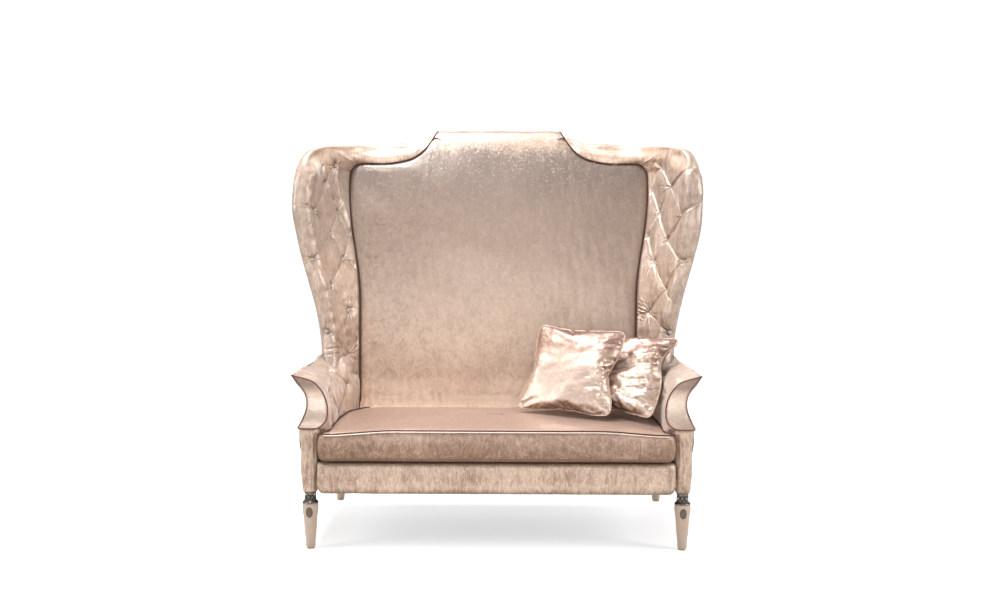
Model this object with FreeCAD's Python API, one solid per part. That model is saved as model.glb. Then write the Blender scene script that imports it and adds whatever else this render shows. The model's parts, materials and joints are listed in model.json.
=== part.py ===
import FreeCAD, Part
import math
import os
from FreeCAD import Rotation, Vector

# A tall wing-back loveseat with tufted wings, a smooth back panel with a raised crest, one loose
# seat cushion and two scatter cushions. Millimetres. The origin lies on the floor under the middle
# of the seat, +Z is up and the sitter looks along -Y. Right-hand pieces (+X) are modelled and the
# left-hand ones are their mirror images.

# Clearances and thin things
SOFT_GAP = 0.3          # between a soft solid and what it rests on or beside
CUSHION_GAP = 1.5       # between the loose cushion and the arms
SKIN = 4.0              # outside covers over thin wadding
BOARD = 18.0            # thickness of the arm and wing boards
RIB = 22.0              # thickness of the back ribs
STRAP_THICK = 1.5
STRAP_WIDE = 60.0
SEAT_STRAP_PITCH = 100.0
SEAT_STRAP_COUNT = 12
CROSS_STRAP_Y = (-260.0, -120.0, 20.0)
BACK_STRAP_FIRST = 480.0
BACK_STRAP_PITCH = 140.0
BACK_STRAP_COUNT = 7

# Base
RAIL_BOTTOM = 235.0
RAIL_TOP = 310.0
RAIL_THICK = 30.0
RAIL_FRONT = -400.0     # front face of the front rail
COVER_BOTTOM = 225.0    # lower edge of the outside covers
FRONT_DROP = 13.0       # how far the front apron and post covers reach below the side covers
SEAT_REAR_RAIL = 150.0  # front face of the rear seat rail
BACK_RAIL = 300.0       # front face of the back rail
STRETCHER_X = 220.0
STRETCHER_WIDE = 30.0
STRETCHER_DROP = 15.0   # how far the stretchers lie below the rails' tops
BLOCK_LEG = 70.0        # corner blocks, along each rail
BLOCK_INSET = 10.0      # from the rails' edges to the blocks' ends
SCREW_RADIUS = 2.5
SCREW_ALONG = 40.0      # from the corner to the screws
SCREW_INSET = 15.0      # from the blocks' ends to the screws
SCREW_BITE = 20.0       # depth of the screws in the rail
DECK_THICK = 19.4
DUST_COVER = 1.0
APRON_THICK = 27.0
APRON_TOP = 326.0
APRON_ROUND = 20.0

# Heights that follow the top of the crest
CREST_TOP = 1583.0
CREST_ROLL = 43.0       # height over which the crest rolls back
CREST_DEPTH = 46.0      # depth over which it rolls back
BORDER_DEPTH = 76.0     # from the top border's seam back to its crown
CREST_FRONT = CREST_TOP - CREST_ROLL
CREST_PAD = 31.0        # padding over the crest rail
BORDER_DROP = 57.0      # from the crest down to the top border
BORDER_TOP = CREST_TOP - BORDER_DROP
PANEL_DROP = 140.0      # from the crest down to the back panel's corners
PANEL_TOP = CREST_TOP - PANEL_DROP
WING_DROP = 76.0        # from the crest down to the top of the wings
WING_TOP = CREST_TOP - WING_DROP
SHOULDER_HIGH = 207.0   # height over which the wings round over
SHOULDER_Z = WING_TOP - SHOULDER_HIGH
FULL_Z = SHOULDER_Z - 40.0               # where the wings are widest
CAP_HIGH = 66.0         # height of the wing's rounded cap
CAP_BOTTOM = WING_TOP - CAP_HIGH
CAP_RISES = (0.0, 21.0, 39.0, 53.0, 60.0)

# Wings and arms
WAIST_X = 702.0         # half width at the foot of the wings
FULL_X = 795.0          # half width where the wings are widest
WAIST_Z = 700.0
SHOULDER_POWER = 2.4
SHOULDER_X = 690.0      # middle of the rounded shoulder, across
SHOULDER_Y = 60.0       # and along the seat's depth
WING_FRONT_LOW = -20.0  # front edge of the wing at the waist
WING_FRONT_FULL = -100.0
REAR_HALF = 702.0       # half width of the outside back at the waist
REAR_FULL = 735.0
ROLL = 30.0             # radius of the wing's front roll
ROLL_INNER = 52.0       # from the roll's outside to the tufted face
BOARD_DROP = 16.0       # the wing boards end this far below the cap
BOARD_TOP = CAP_BOTTOM - BOARD_DROP
TUFT_DEPTH = 13.0
TUFT_CROWN = 9.0
TUFT_PUFF = 4.0
WING_BOW = 14.0
BUTTON_RADIUS = 8.0
BUTTON_RISE = 4.0
SHANK_RADIUS = 1.5
SHANK_LONG = 18.0
ROW_PITCH = 97.0        # from one row of buttons to the next
FIRST_ROW = 762.0
ROWS_END = 90.0         # no row of buttons within this height below the cap

ARM_TIP_X = 748.0
ARM_TIP_Y = -420.0
ARM_TIP_Z = 650.0
ARM_BULGE_X = 622.0     # inner face of the arms at its fullest
ARM_BULGE_Z = 510.0
ARM_BULGE_Y = -300.0
ARM_BOARD_TOP = 600.0
ARM_WAIST_Z = 562.0     # where the arm's flank meets the outside panel
SIDE_BASE_X = 715.0
SIDE_HIP_X = 728.0
SIDE_HIP_Z = 461.0
SCOOP_RADIUS = 125.0    # hollow front of the arms
SCOOP_Z = 551.0
FACING_THICK = 8.0
FACING_PIPING = 2.2

# Front posts and legs
POST_X = 687.0
POST_Y = -383.0
POST_TOP = 451.5
POST_COVER_TOP = 36.0
POST_COVER_LOW = 27.5
POST_TIMBER = 34.0
LEG_TOP = 170.0
LEG_TOP_RADIUS = 30.0
LEG_FOOT_RADIUS = 17.0
GLIDE_HIGH = 6.0
COLLAR_DISH = 10.0
COLLAR_NECK_RADIUS = 22.0
COLLAR_RIBS = 12
BADGE_Z = 140.0
BADGE_WIDE = 24.0
BADGE_HIGH = 38.0
BADGE_THICK = 2.2
BADGE_RIM = 3.0
BOLT_RADIUS = 5.0
BOLT_RUN = 0.3
BOLT_REACH = 50.0       # depth of the bolts in legs and rails
REAR_LEG_TOP = (662.0, 288.0)
REAR_LEG_FOOT = (683.0, 399.0)
REAR_LEG_RADIUS = 24.0

# Back
BACK_Y = 112.0          # front face of the back pad, below the bend
BEND_Z = 600.0          # the back is upright below this and leans away above it
BACK_RADIUS = 2400.0
REAR_Y = 335.0          # outside back, below its own bend
REAR_BEND_Z = 500.0
REAR_RADIUS = 5525.0
PAD_THICK = 58.0
PAD_BOTTOM = 340.0
STRAP_PLAY = 2.0        # between the back pad and the ribs, where the webbing runs
RIB_X = 611.0
MID_RAIL = (25.0, 800.0, 860.0)          # thickness, bottom, top
MID_RAIL_BACK = 50.0    # from the pad's rear face to the mid rails
SPACER_Z = (720.0, 1220.0)
SPACER_HIGH = 60.0
SPACER_DEEP = 45.0
PANEL_LOW = 560.0       # half width of the back pad at the seat
PANEL_FULL = 612.0
PANEL_FULL_Z = PANEL_TOP - 103.0
FLARE_Z = PANEL_TOP - 563.0     # where the back pad starts to flare
PANEL_CORNER = 45.0
CREST_HALF = 262.0
BORDER_RISE = 30.0
PIPING = 2.5
CREST_RAIL_SET = 57.0    # from the back's outside forward to the crest rail's front face
CREST_RAIL_MID = CREST_TOP - CREST_PAD
CREST_RAIL_SIDE = PANEL_TOP + 45.0
CREST_RAIL_LOW = PANEL_TOP - 43.0
CREST_RAIL_STEP = 14.0  # the rail's raised middle is this much narrower than the crest

# Seat cushion
CUSHION_BOTTOM = 333.4
CUSHION_EDGE = 447.0    # height of the piped top edge
CUSHION_CROWN = 19.0
CUSHION_FRONT = -440.0
CUSHION_BACK = 107.0
CUSHION_CORNER_X = 648.0
CUSHION_STEP_Y = -408.0  # in front of this the cushion may be as wide as its front
CUSHION_ROLL = 190.0    # width over which the crown rises from the edge
ZIP = (840.0, 14.0, 2.0)                 # length, height, thickness
ZIP_RISE = 40.0         # from the cushion's underside to the zip

# Scatter cushions
SCATTER_HALF = 180.0
SCATTER_THICK = 96.0
SCATTER_DRAWN = 12.0    # how far the sides pull in between the corners
SCATTER_CORNER = 26.0

# How far solids that only cut or trim reach past the seat's middle
WIDE_OUT = FULL_X + 5
DEEP_OUT = REAR_Y + 265


def smooth(t):
    t = min(max(t, 0.0), 1.0)
    return t * t * (3 - 2 * t)


def shoulder(z):
    t = (z - SHOULDER_Z) / (WING_TOP - SHOULDER_Z)
    if t <= 0:
        return 1.0
    return max(1 - t ** SHOULDER_POWER, 0.0) ** (1 / SHOULDER_POWER)


def wing_x(z):
    """Outermost half width of the wing at a height."""
    side = WAIST_X + (FULL_X - WAIST_X) * smooth((z - WAIST_Z) / (FULL_Z - WAIST_Z))
    return SHOULDER_X + (side - SHOULDER_X) * shoulder(z)


def wing_y(z):
    """Front edge of the wing at a height."""
    front = WING_FRONT_LOW
    if z > WAIST_Z:
        share = min((z - WAIST_Z) / (FULL_Z - WAIST_Z), 1.0)
        front += (WING_FRONT_FULL - WING_FRONT_LOW) * share
    return SHOULDER_Y + (front - SHOULDER_Y) * shoulder(z)


def rear_x(z):
    """Half width of the outside back at a height."""
    side = REAR_HALF + (REAR_FULL - REAR_HALF) * smooth((z - WAIST_Z) / (FULL_Z - WAIST_Z))
    return SHOULDER_X - 50 + (side - SHOULDER_X + 50) * shoulder(z)


def back_y(z, offset=0.0):
    """Depth of the back pad's face, or of a surface that lies offset behind it."""
    if z <= BEND_Z:
        return BACK_Y + offset
    reach = (BACK_RADIUS - offset) ** 2 - (z - BEND_Z) ** 2
    return BACK_Y + BACK_RADIUS - math.sqrt(reach)


def rear_y(z, offset=0.0):
    """Depth of the outside back, or of a surface that lies offset inside it."""
    if z <= REAR_BEND_Z:
        return REAR_Y - offset
    reach = (REAR_RADIUS + offset) ** 2 - (z - REAR_BEND_Z) ** 2
    return REAR_Y + REAR_RADIUS - math.sqrt(reach)


def panel_x(z):
    """Half width of the back pad below its rounded corners."""
    return PANEL_LOW + (PANEL_FULL - PANEL_LOW) * smooth((z - FLARE_Z) / (PANEL_FULL_Z - FLARE_Z))


def arm_in(y):
    """Inner face of the arm, fullest near its front."""
    span = BACK_Y - ARM_BULGE_Y
    back = PANEL_LOW + 3
    return ARM_BULGE_X - (ARM_BULGE_X - back) * (max(y - ARM_BULGE_Y, 0.0) / span) ** 2


def lip_x(y):
    return WAIST_X + (ARM_TIP_X - WAIST_X) * (max(-y, 0.0) / -ARM_TIP_Y) ** 1.2


def lip_z(y):
    share = 1 - max(-y, 0.0) / -ARM_TIP_Y
    near = max(1 + y / 120.0, 0.0)
    return ARM_TIP_Z + 14 * share + (WAIST_Z - ARM_TIP_Z - 16) * near ** 2


def line(p, q):
    return Part.LineSegment(p, q).toShape()


def arc(p, m, q):
    return Part.Arc(p, m, q).toShape()


def box(x0, x1, y0, y1, z0, z1):
    return Part.makeBox(x1 - x0, y1 - y0, z1 - z0, Vector(x0, y0, z0))


def rod(p, q, radius):
    run = q.sub(p)
    return Part.makeCylinder(radius, run.Length, p, run)


def mirror(shape):
    return shape.mirror(Vector(0, 0, 0), Vector(1, 0, 0))


def prism(edges, run):
    return Part.Face(Part.Wire(edges)).extrude(run)


def ring(points):
    return [line(points[i - 1], points[i]) for i in range(len(points))]


def ruled(sections):
    return Part.makeLoft([Part.Wire(s) for s in sections], True, True)


def rise(depth, z0, z1, bend):
    """Edges in the YZ plane that follow depth(z) from z0 to z1: a line, then an arc."""
    low, high = min(z0, z1), max(z0, z1)
    stops = [low, bend, high] if low < bend < high else [low, high]
    edges = []
    for a, b in zip(stops, stops[1:]):
        p, q = Vector(0, depth(a), a), Vector(0, depth(b), b)
        middle = (a + b) / 2
        edges.append(line(p, q) if b <= bend else arc(p, Vector(0, depth(middle), middle), q))
    return edges


def slab(front, front_bend, rear, rear_bend, z0, z1, x0, x1):
    """A solid between two curved upright surfaces, from x0 to x1."""
    edges = rise(front, z0, z1, front_bend) + rise(rear, z0, z1, rear_bend)
    edges.append(line(Vector(0, front(z0), z0), Vector(0, rear(z0), z0)))
    edges.append(line(Vector(0, front(z1), z1), Vector(0, rear(z1), z1)))
    face = Part.Face(Part.Wire(Part.__sortEdges__(edges)))
    face.translate(Vector(x0, 0, 0))
    return face.extrude(Vector(x1 - x0, 0, 0))


def tube(points, bends, radius):
    """A round tube along straight runs joined by tangent arcs."""
    edges = []
    start = points[0]
    for i in range(1, len(points) - 1):
        before = points[i].sub(points[i - 1])
        after = points[i + 1].sub(points[i])
        turn = before.getAngle(after)
        bend = bends[i - 1] if isinstance(bends, list) else bends
        shorter = min(before.Length, after.Length)
        if turn < 0.02:
            continue
        cut = min(bend * math.tan(turn / 2), 0.45 * shorter)
        before.normalize()
        after.normalize()
        a = points[i].sub(before * cut)
        b = points[i].add(after * cut)
        real_bend = cut / math.tan(turn / 2)
        inward = after.sub(before).normalize()
        middle = points[i].add(inward * (real_bend / math.cos(turn / 2) - real_bend))
        if start.distanceToPoint(a) > 0.01:
            edges.append(line(start, a))
        edges.append(arc(a, middle, b))
        start = b
    edges.append(line(start, points[-1]))
    way = points[1].sub(points[0])
    end = Part.Wire(Part.makeCircle(radius, points[0], way))
    return Part.Wire(edges).makePipeShell([end], True, False)


def loop_tube(points, bend, radius):
    """A round tube round a closed line, from the middle of its last run back to there."""
    start = points[-1].add(points[0]).multiply(0.5)
    way = points[0].sub(points[-1]).normalize()
    joint = way * (SOFT_GAP / 2)
    return tube([start.add(joint)] + points + [start.sub(joint)], bend, radius)


# Outlines

def panel_outline(top):
    """Front outline of the back pad: narrow at the seat, flared, then up to the crest."""
    flare = [(PANEL_LOW, PAD_BOTTOM), (PANEL_LOW + 3, FLARE_Z)]
    flare_mid = ((PANEL_LOW + PANEL_FULL) / 2 - 3, FLARE_Z + 0.587 * (PANEL_FULL_Z - FLARE_Z))
    corner_z = PANEL_TOP - PANEL_CORNER
    corner = (PANEL_FULL - PANEL_CORNER, corner_z)
    k = PANEL_CORNER * math.sqrt(0.5)
    half = []
    half.append(("line", flare[0], flare[1]))
    half.append(("arc", flare[1], flare_mid, (PANEL_FULL, PANEL_FULL_Z)))
    half.append(("line", (PANEL_FULL, PANEL_FULL_Z), (PANEL_FULL, corner_z)))
    half.append(("arc", (PANEL_FULL, corner_z), (corner[0] + k, corner[1] + k), (corner[0], PANEL_TOP)))
    foot = (CREST_HALF + 186, PANEL_TOP + 2)
    knee = (CREST_HALF + 48, PANEL_TOP + 62)
    half.append(("line", (corner[0], PANEL_TOP), foot))
    half.append(("arc", foot, (CREST_HALF + 101, PANEL_TOP + 20), knee))
    shoulder_low = (CREST_HALF + 2, CREST_TOP - 22)
    half.append(("arc", knee, (CREST_HALF + 20, PANEL_TOP + 98), shoulder_low))
    half.append(("arc", shoulder_low, (CREST_HALF - 7, CREST_TOP - 8), (CREST_HALF - 26, top)))
    edges = []
    for side in (1, -1):
        for item in half:
            pts = [Vector(side * x, 0, z) for x, z in item[1:]]
            edges.append(line(*pts) if item[0] == "line" else arc(*pts))
    edges.append(line(Vector(-PANEL_LOW, 0, PAD_BOTTOM), Vector(PANEL_LOW, 0, PAD_BOTTOM)))
    edges.append(line(Vector(CREST_HALF - 26, 0, top), Vector(26 - CREST_HALF, 0, top)))
    return Part.__sortEdges__(edges)


def facing_edges(shrink=0.0):
    """Front outline of the right arm facing, as inner and outer lines from the tip down."""
    tip = Vector(ARM_TIP_X - shrink, 0, ARM_TIP_Z - shrink / 2)
    over = Vector(690, 0, 631 - shrink)
    bulge = Vector(ARM_BULGE_X + shrink, 0, ARM_BULGE_Z)
    low_in = Vector(650, 0, POST_TOP + SOFT_GAP + 8 + shrink)
    low_mid = Vector(668, 0, POST_TOP + SOFT_GAP + shrink)
    low_out = Vector(SIDE_HIP_X - shrink, 0, POST_TOP + SOFT_GAP + shrink)
    waist = Vector(700 - shrink, 0, 540)
    inner = [arc(tip, Vector(719, 0, 640 - shrink), over),
             arc(over, Vector(646 + shrink * 0.7, 0, 591 - shrink * 0.7), bulge),
             arc(bulge, Vector(628 + shrink * 0.8, 0, 476 + shrink * 0.5), low_in),
             arc(low_in, Vector(658, 0, POST_TOP + SOFT_GAP + 3 + shrink), low_mid),
             line(low_mid, low_out)]
    outer = [arc(low_out, Vector(707 - shrink, 0, 495), waist),
             arc(waist, Vector(713 - shrink, 0, 588), tip)]
    return inner, outer


def scoop_y(z, radius=SCOOP_RADIUS):
    """Depth of the hollow arm front at a height."""
    centre = ARM_TIP_Y - math.sqrt(SCOOP_RADIUS ** 2 - (ARM_TIP_Z - SCOOP_Z) ** 2)
    return centre + math.sqrt(max(radius ** 2 - (z - SCOOP_Z) ** 2, 0.0))


def scoop_cylinder(radius):
    centre = ARM_TIP_Y - math.sqrt(SCOOP_RADIUS ** 2 - (ARM_TIP_Z - SCOOP_Z) ** 2)
    return Part.makeCylinder(radius, WIDE_OUT, Vector(0, centre, SCOOP_Z), Vector(1, 0, 0))


# Timber and boards

def rails():
    inner = WAIST_X - SKIN - SOFT_GAP - BOARD - RAIL_THICK
    side_out = inner + RAIL_THICK
    front = box(POST_TIMBER / 2 - POST_X, POST_X - POST_TIMBER / 2,
                RAIL_FRONT, RAIL_FRONT + RAIL_THICK, RAIL_BOTTOM, RAIL_TOP)
    rear_seat = box(-inner, inner, SEAT_REAR_RAIL, SEAT_REAR_RAIL + RAIL_THICK, RAIL_BOTTOM, RAIL_TOP)
    back = box(-side_out, side_out, BACK_RAIL, BACK_RAIL + RAIL_THICK, RAIL_BOTTOM, RAIL_TOP)
    post_rear = POST_Y + POST_TIMBER / 2
    side = box(inner, side_out, post_rear, BACK_RAIL, RAIL_BOTTOM, RAIL_TOP)
    side = side.cut(front)
    return front, rear_seat, back, side, inner, side_out


def corner_block(x, y, dx, dy, low, high):
    pts = [Vector(x, y, low), Vector(x + dx, y, low), Vector(x, y + dy, low)]
    return prism(ring(pts), Vector(0, 0, high - low))


def arm_board():
    outer = WAIST_X - SKIN - SOFT_GAP
    post_rear = POST_Y + POST_TIMBER / 2
    front_high = scoop_y(SCOOP_Z, SCOOP_RADIUS + FACING_THICK) + 12
    pts = [(post_rear, RAIL_BOTTOM), (BACK_RAIL + RAIL_THICK, RAIL_BOTTOM),
           (BACK_RAIL + RAIL_THICK, ARM_BOARD_TOP), (front_high, ARM_BOARD_TOP),
           (front_high, POST_TOP - 12), (post_rear, POST_TOP - 12)]
    pts = [Vector(outer - BOARD, y, z) for y, z in pts]
    return prism(ring(pts), Vector(BOARD, 0, 0))


def wing_plan(z):
    """Outer front and rear corners of the wing's outside cover, its direction and inward way."""
    front = Vector(wing_x(z), wing_y(z) + ROLL, z)
    rear = Vector(rear_x(z), rear_y(z, SKIN), z)
    way = rear.sub(front).normalize()
    inward = Vector(-way.y, way.x, 0)
    return front, rear, inward


def row_heights():
    count = int((CAP_BOTTOM - ROWS_END - FIRST_ROW) / ROW_PITCH) + 1
    return [FIRST_ROW + i * ROW_PITCH for i in range(count)]


def wing_levels(low, high):
    rows = row_heights()
    levels = [(ARM_WAIST_Z + WAIST_Z) / 2, WAIST_Z] + rows
    levels += [(rows[-1] + CAP_BOTTOM) / 2, BOARD_TOP]
    return [low] + [z for z in levels if low + 5 < z < high - 5] + [high]


def wing_layer(z_low, z_high, out, inn):
    """A sheet that follows the wing's outside, from out to inn millimetres inside it."""
    sections = []
    for z in wing_levels(z_low, z_high):
        front, rear, inward = wing_plan(z)
        sections.append(ring([front.add(inward * out), rear.add(inward * out),
                              rear.add(inward * inn), front.add(inward * inn)]))
    return ruled(sections)


def back_rib(x, top):
    front = PAD_THICK + STRAP_PLAY
    return slab(lambda z: back_y(z, front), BEND_Z, lambda z: rear_y(z, SKIN), REAR_BEND_Z,
                RAIL_TOP, top, x - RIB / 2, x + RIB / 2)


def crest_rail(half):
    edge = CREST_HALF - CREST_RAIL_STEP
    front = rear_y(CREST_RAIL_MID, SKIN) - CREST_RAIL_SET
    pts = [(half, CREST_RAIL_LOW), (half, CREST_RAIL_SIDE), (edge, CREST_RAIL_SIDE),
           (edge, CREST_RAIL_MID)]
    pts = pts + [(-x, z) for x, z in reversed(pts)]
    return prism(ring([Vector(x, front, z) for x, z in pts]), Vector(0, RAIL_THICK, 0))


# Soft parts

def back_pad():
    rear = rear_y(CREST_TOP - 8, SKIN)
    front_top = Vector(0, back_y(CREST_FRONT), CREST_FRONT)
    crown = Vector(0, back_y(CREST_FRONT) + CREST_DEPTH, CREST_TOP)
    under = CREST_RAIL_MID + SOFT_GAP
    edges = rise(back_y, PAD_BOTTOM, CREST_FRONT, BEND_Z)
    edges.append(arc(front_top, Vector(0, front_top.y + 14, CREST_TOP - 13), crown))
    edges.append(line(crown, Vector(0, rear - 8, CREST_TOP - 2)))
    edges.append(line(Vector(0, rear - 8, CREST_TOP - 2), Vector(0, rear, CREST_TOP - 8)))
    edges.append(line(Vector(0, rear, CREST_TOP - 8), Vector(0, rear_y(under, SKIN), under)))
    inner = Vector(0, back_y(under, PAD_THICK), under)
    edges.append(line(Vector(0, rear_y(under, SKIN), under), inner))
    edges += rise(lambda z: back_y(z, PAD_THICK), PAD_BOTTOM, under, BEND_Z)
    edges.append(line(Vector(0, back_y(PAD_BOTTOM), PAD_BOTTOM),
                      Vector(0, back_y(PAD_BOTTOM, PAD_THICK), PAD_BOTTOM)))
    face = Part.Face(Part.Wire(Part.__sortEdges__(edges)))
    face.translate(Vector(-WIDE_OUT, 0, 0))
    body = face.extrude(Vector(2 * WIDE_OUT, 0, 0))
    outline = Part.Face(Part.Wire(panel_outline(CREST_TOP + 5)))
    return body.common(outline.extrude(Vector(0, DEEP_OUT, 0)))


def crest_y(z):
    """Depth of the crest's rolled front at a height above where it starts to roll."""
    rise = (z - CREST_FRONT) / CREST_ROLL
    return back_y(CREST_FRONT) + CREST_DEPTH * (1 - math.sqrt(max(1 - rise ** 2, 0)))


def back_piping(side):
    """Piping up one side of the back panel, round its corner and over the crest."""
    out = PIPING + SOFT_GAP
    k = PANEL_CORNER * 0.3
    plan = [(PANEL_LOW + 2, CUSHION_EDGE + 15), (PANEL_LOW + 3, FLARE_Z),
            (PANEL_LOW + 22, (FLARE_Z + PANEL_FULL_Z) / 2),
            (PANEL_FULL - 2, PANEL_FULL_Z - 30), (PANEL_FULL - 1, PANEL_TOP - PANEL_CORNER),
            (PANEL_FULL - k, PANEL_TOP - k), (PANEL_FULL - PANEL_CORNER - 6, PANEL_TOP),
            (CREST_HALF + 186, PANEL_TOP + 3), (CREST_HALF + 101, PANEL_TOP + 20),
            (CREST_HALF + 48, PANEL_TOP + 62), (CREST_HALF + 20, PANEL_TOP + 97)]
    pts = [Vector(side * x, back_y(z) - out, z) for x, z in plan]
    low = CREST_TOP - 12
    pts.append(Vector(side * (CREST_HALF + 3), crest_y(low) - out, low))
    pts.append(Vector(side * (CREST_HALF - 12), back_y(CREST_FRONT) + 60, CREST_TOP + out))
    return tube(pts, 60.0, PIPING)


def border_section(x, low, top):
    """Section of the gathered top border, across the seat's depth."""
    front = back_y(low)
    rear_top = rear_y(top - 24, SKIN + SOFT_GAP)
    a = Vector(x, front, low)
    mid_front = Vector(x, front - 8, low + 0.55 * (top - low))
    nose = Vector(x, front + 26, top - 12)
    crown = Vector(x, front + BORDER_DEPTH, top)
    back_top = Vector(x, rear_top, top - 24)
    rear_low = Vector(x, rear_y(low, SKIN + SOFT_GAP), low)
    return [arc(a, mid_front, nose), arc(nose, Vector(x, front + 48, top - 2), crown),
            arc(crown, Vector(x, (crown.y + back_top.y) / 2, top - 7), back_top),
            line(back_top, rear_low), line(rear_low, a)]


def top_border(pad, rail, rib):
    """Top border from the crest to the wing, with the wing's rounded cap."""
    corner_low = PANEL_TOP - PANEL_CORNER
    inner_x = PANEL_FULL + 0.8
    stations = []
    for x in (CREST_HALF - CREST_RAIL_STEP, CREST_HALF + 40, CREST_HALF + 85, CREST_HALF + 130,
              (CREST_HALF + 130 + inner_x) / 2, inner_x):
        top = BORDER_TOP + BORDER_RISE * (1 - smooth((x - CREST_HALF) / 125.0))
        stations.append(border_section(x, corner_low, top))
    before_pad = slab(lambda z: back_y(z, -PAD_THICK), BEND_Z,
                      lambda z: back_y(z, PAD_THICK + SOFT_GAP), BEND_Z,
                      corner_low - 5, CREST_TOP + 5, -WIDE_OUT, WIDE_OUT)
    outline = Part.Face(Part.Wire(panel_outline(CREST_TOP + 5)))
    panel = outline.extrude(Vector(0, DEEP_OUT, 0)).common(before_pad)
    border = ruled(stations).cut(panel).cut(pad)
    outer = ruled([border_section(inner_x, CAP_BOTTOM, BORDER_TOP),
                   border_section(SHOULDER_X - 12, CAP_BOTTOM, WING_TOP + 8),
                   border_section(SHOULDER_X + 12, CAP_BOTTOM, WING_TOP - 22)])
    cap_sections = []
    for z in [CAP_BOTTOM + high for high in CAP_RISES]:
        radius = ROLL * 0.9
        centre = Vector(wing_x(z) - radius, wing_y(z) + radius, z)
        inner_front = centre.add(Vector(-0.75, -0.66, 0) * radius)
        nose = centre.add(Vector(0, -radius, 0))
        side = centre.add(Vector(radius, 0, 0))
        inner_back = Vector(inner_x, rear_y(CAP_BOTTOM, SKIN + SOFT_GAP), z)
        outer_back = Vector(rear_x(z), rear_y(CAP_BOTTOM, SKIN + SOFT_GAP), z)
        cap_sections.append([
            line(inner_back, Vector(inner_x, back_y(CAP_BOTTOM), z)),
            line(Vector(inner_x, back_y(CAP_BOTTOM), z), inner_front),
            arc(inner_front, centre.add(Vector(-0.42, -0.908, 0) * radius), nose),
            arc(nose, centre.add(Vector(0.707, -0.707, 0) * radius), side),
            line(side, outer_back), line(outer_back, inner_back)])
    cap = ruled(cap_sections)
    whole = border.fuse([outer, cap])
    return whole.cut(rail).cut(rib)


def wing_inner(z):
    """Ends of the tufted face in plan, and the way that it faces."""
    start = Vector(panel_x(z) + 4, back_y(z) + 3, z)
    end = Vector(wing_x(z) - ROLL_INNER, wing_y(z) + 10, z)
    way = end.sub(start).normalize()
    face = Vector(way.y, -way.x, 0)
    if face.y > 0:
        face = face * -1
    return start, end, face


def tuft_point(z, share, lift):
    start, end, face = wing_inner(z)
    bow = -WING_BOW * 4 * share * (1 - share)
    return start.add(end.sub(start) * share).add(face * (bow + lift))


# Shares across the face where a row's tufts and crowns lie, and whether each holds a button
WIDE_ROW = ((0.28, True), (0.53, False), (0.84, True))
NARROW_ROW = ((0.27, False), (0.50, True), (0.80, False))
LOW_ROWS = (((0.32, False), (0.60, True), (0.86, False)),
            ((0.34, True), (0.60, False), (0.86, False)),
            ((0.36, False), (0.73, True), (0.88, False)))
TOP_BUTTON_DROP = 13.0
TOP_BUTTON_SHARE = 0.38
SEAM_SHARE = 0.09       # buttons beside the back pad's piping


def wing_rows():
    """Each row's height and its shares across the face."""
    rows = []
    for i, z in enumerate(row_heights()):
        if i < len(LOW_ROWS):
            rows.append((z, LOW_ROWS[i]))
        else:
            rows.append((z, WIDE_ROW if i % 2 else NARROW_ROW))
    return rows


def wing_button_places():
    """Height, share across the face and depth of each button on a wing."""
    places = [(CAP_BOTTOM - TOP_BUTTON_DROP, TOP_BUTTON_SHARE, 0.0)]
    for i, (z, row) in enumerate(wing_rows()):
        places += [(z, share, -TUFT_DEPTH + TUFT_PUFF) for share, held in row if held]
        if i >= len(LOW_ROWS) and not i % 2:
            places.append((z, SEAM_SHARE, 0.0))
    return places


def wing_pad_section(z, row=WIDE_ROW, tufted=False):
    points = [tuft_point(z, 0.0, 0.0)]
    for share, held in row:
        lift = -TUFT_DEPTH if held else TUFT_CROWN
        points.append(tuft_point(z, share, lift if tufted else 0.0))
    points.append(tuft_point(z, 1.0, 0.0))
    front, rear, inward = wing_plan(z)
    face = wing_inner(z)[2]
    edges = []
    for p, q in zip(points, points[1:]):
        edges.append(arc(p, p.add(q).multiply(0.5).add(face * TUFT_PUFF), q))
    centre = Vector(wing_x(z) - ROLL, wing_y(z) + ROLL, z)
    nose = centre.add(Vector(0, -ROLL, 0))
    edges.append(arc(points[-1], centre.add(Vector(-0.45, -0.893, 0) * ROLL), nose))
    edges.append(arc(nose, centre.add(Vector(0.707, -0.707, 0) * ROLL), front))
    board_in = SKIN + SOFT_GAP + BOARD
    depth = back_y(z, PAD_THICK) - SOFT_GAP
    board_front = front.add(inward * board_in)
    board_rear = rear.add(inward * board_in)
    share = (depth - board_front.y) / (board_rear.y - board_front.y)
    board_back = board_front.add(board_rear.sub(board_front) * share)
    rear_in = Vector(panel_x(z) + 1, depth, z)
    for p, q in ((front, board_front), (board_front, board_back), (board_back, rear_in),
                 (rear_in, points[0])):
        edges.append(line(p, q))
    return edges


def wing_pad(pad, board):
    sections = [wing_pad_section(WAIST_Z)]
    for z, row in wing_rows():
        sections.append(wing_pad_section(z, row, True))
    for z in wing_levels(wing_rows()[-1][0], CAP_BOTTOM - SOFT_GAP)[1:]:
        sections.append(wing_pad_section(z))
    return ruled(sections).cut(pad).cut(board)


def button(place, face):
    """A covered button: a low dome on a short shank."""
    back = place.sub(face * SHANK_LONG)
    shank = rod(back, place, SHANK_RADIUS)
    radius = (BUTTON_RADIUS ** 2 + BUTTON_RISE ** 2) / (2 * BUTTON_RISE)
    ball = Part.makeSphere(radius, place.sub(face * (radius - BUTTON_RISE)))
    clip = rod(place, place.add(face * (BUTTON_RISE * 2)), BUTTON_RADIUS * 1.2)
    return ball.common(clip).fuse(shank).removeSplitter()


# Depth along the arm and height; the arms are pulled in at the buttons, clear of the cushion
ARM_BUTTONS = ((-250.0, 555.0), (-115.0, 470.0), (-110.0, 622.0), (2.0, 553.0))
ARM_TUFT = 4.0


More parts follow.
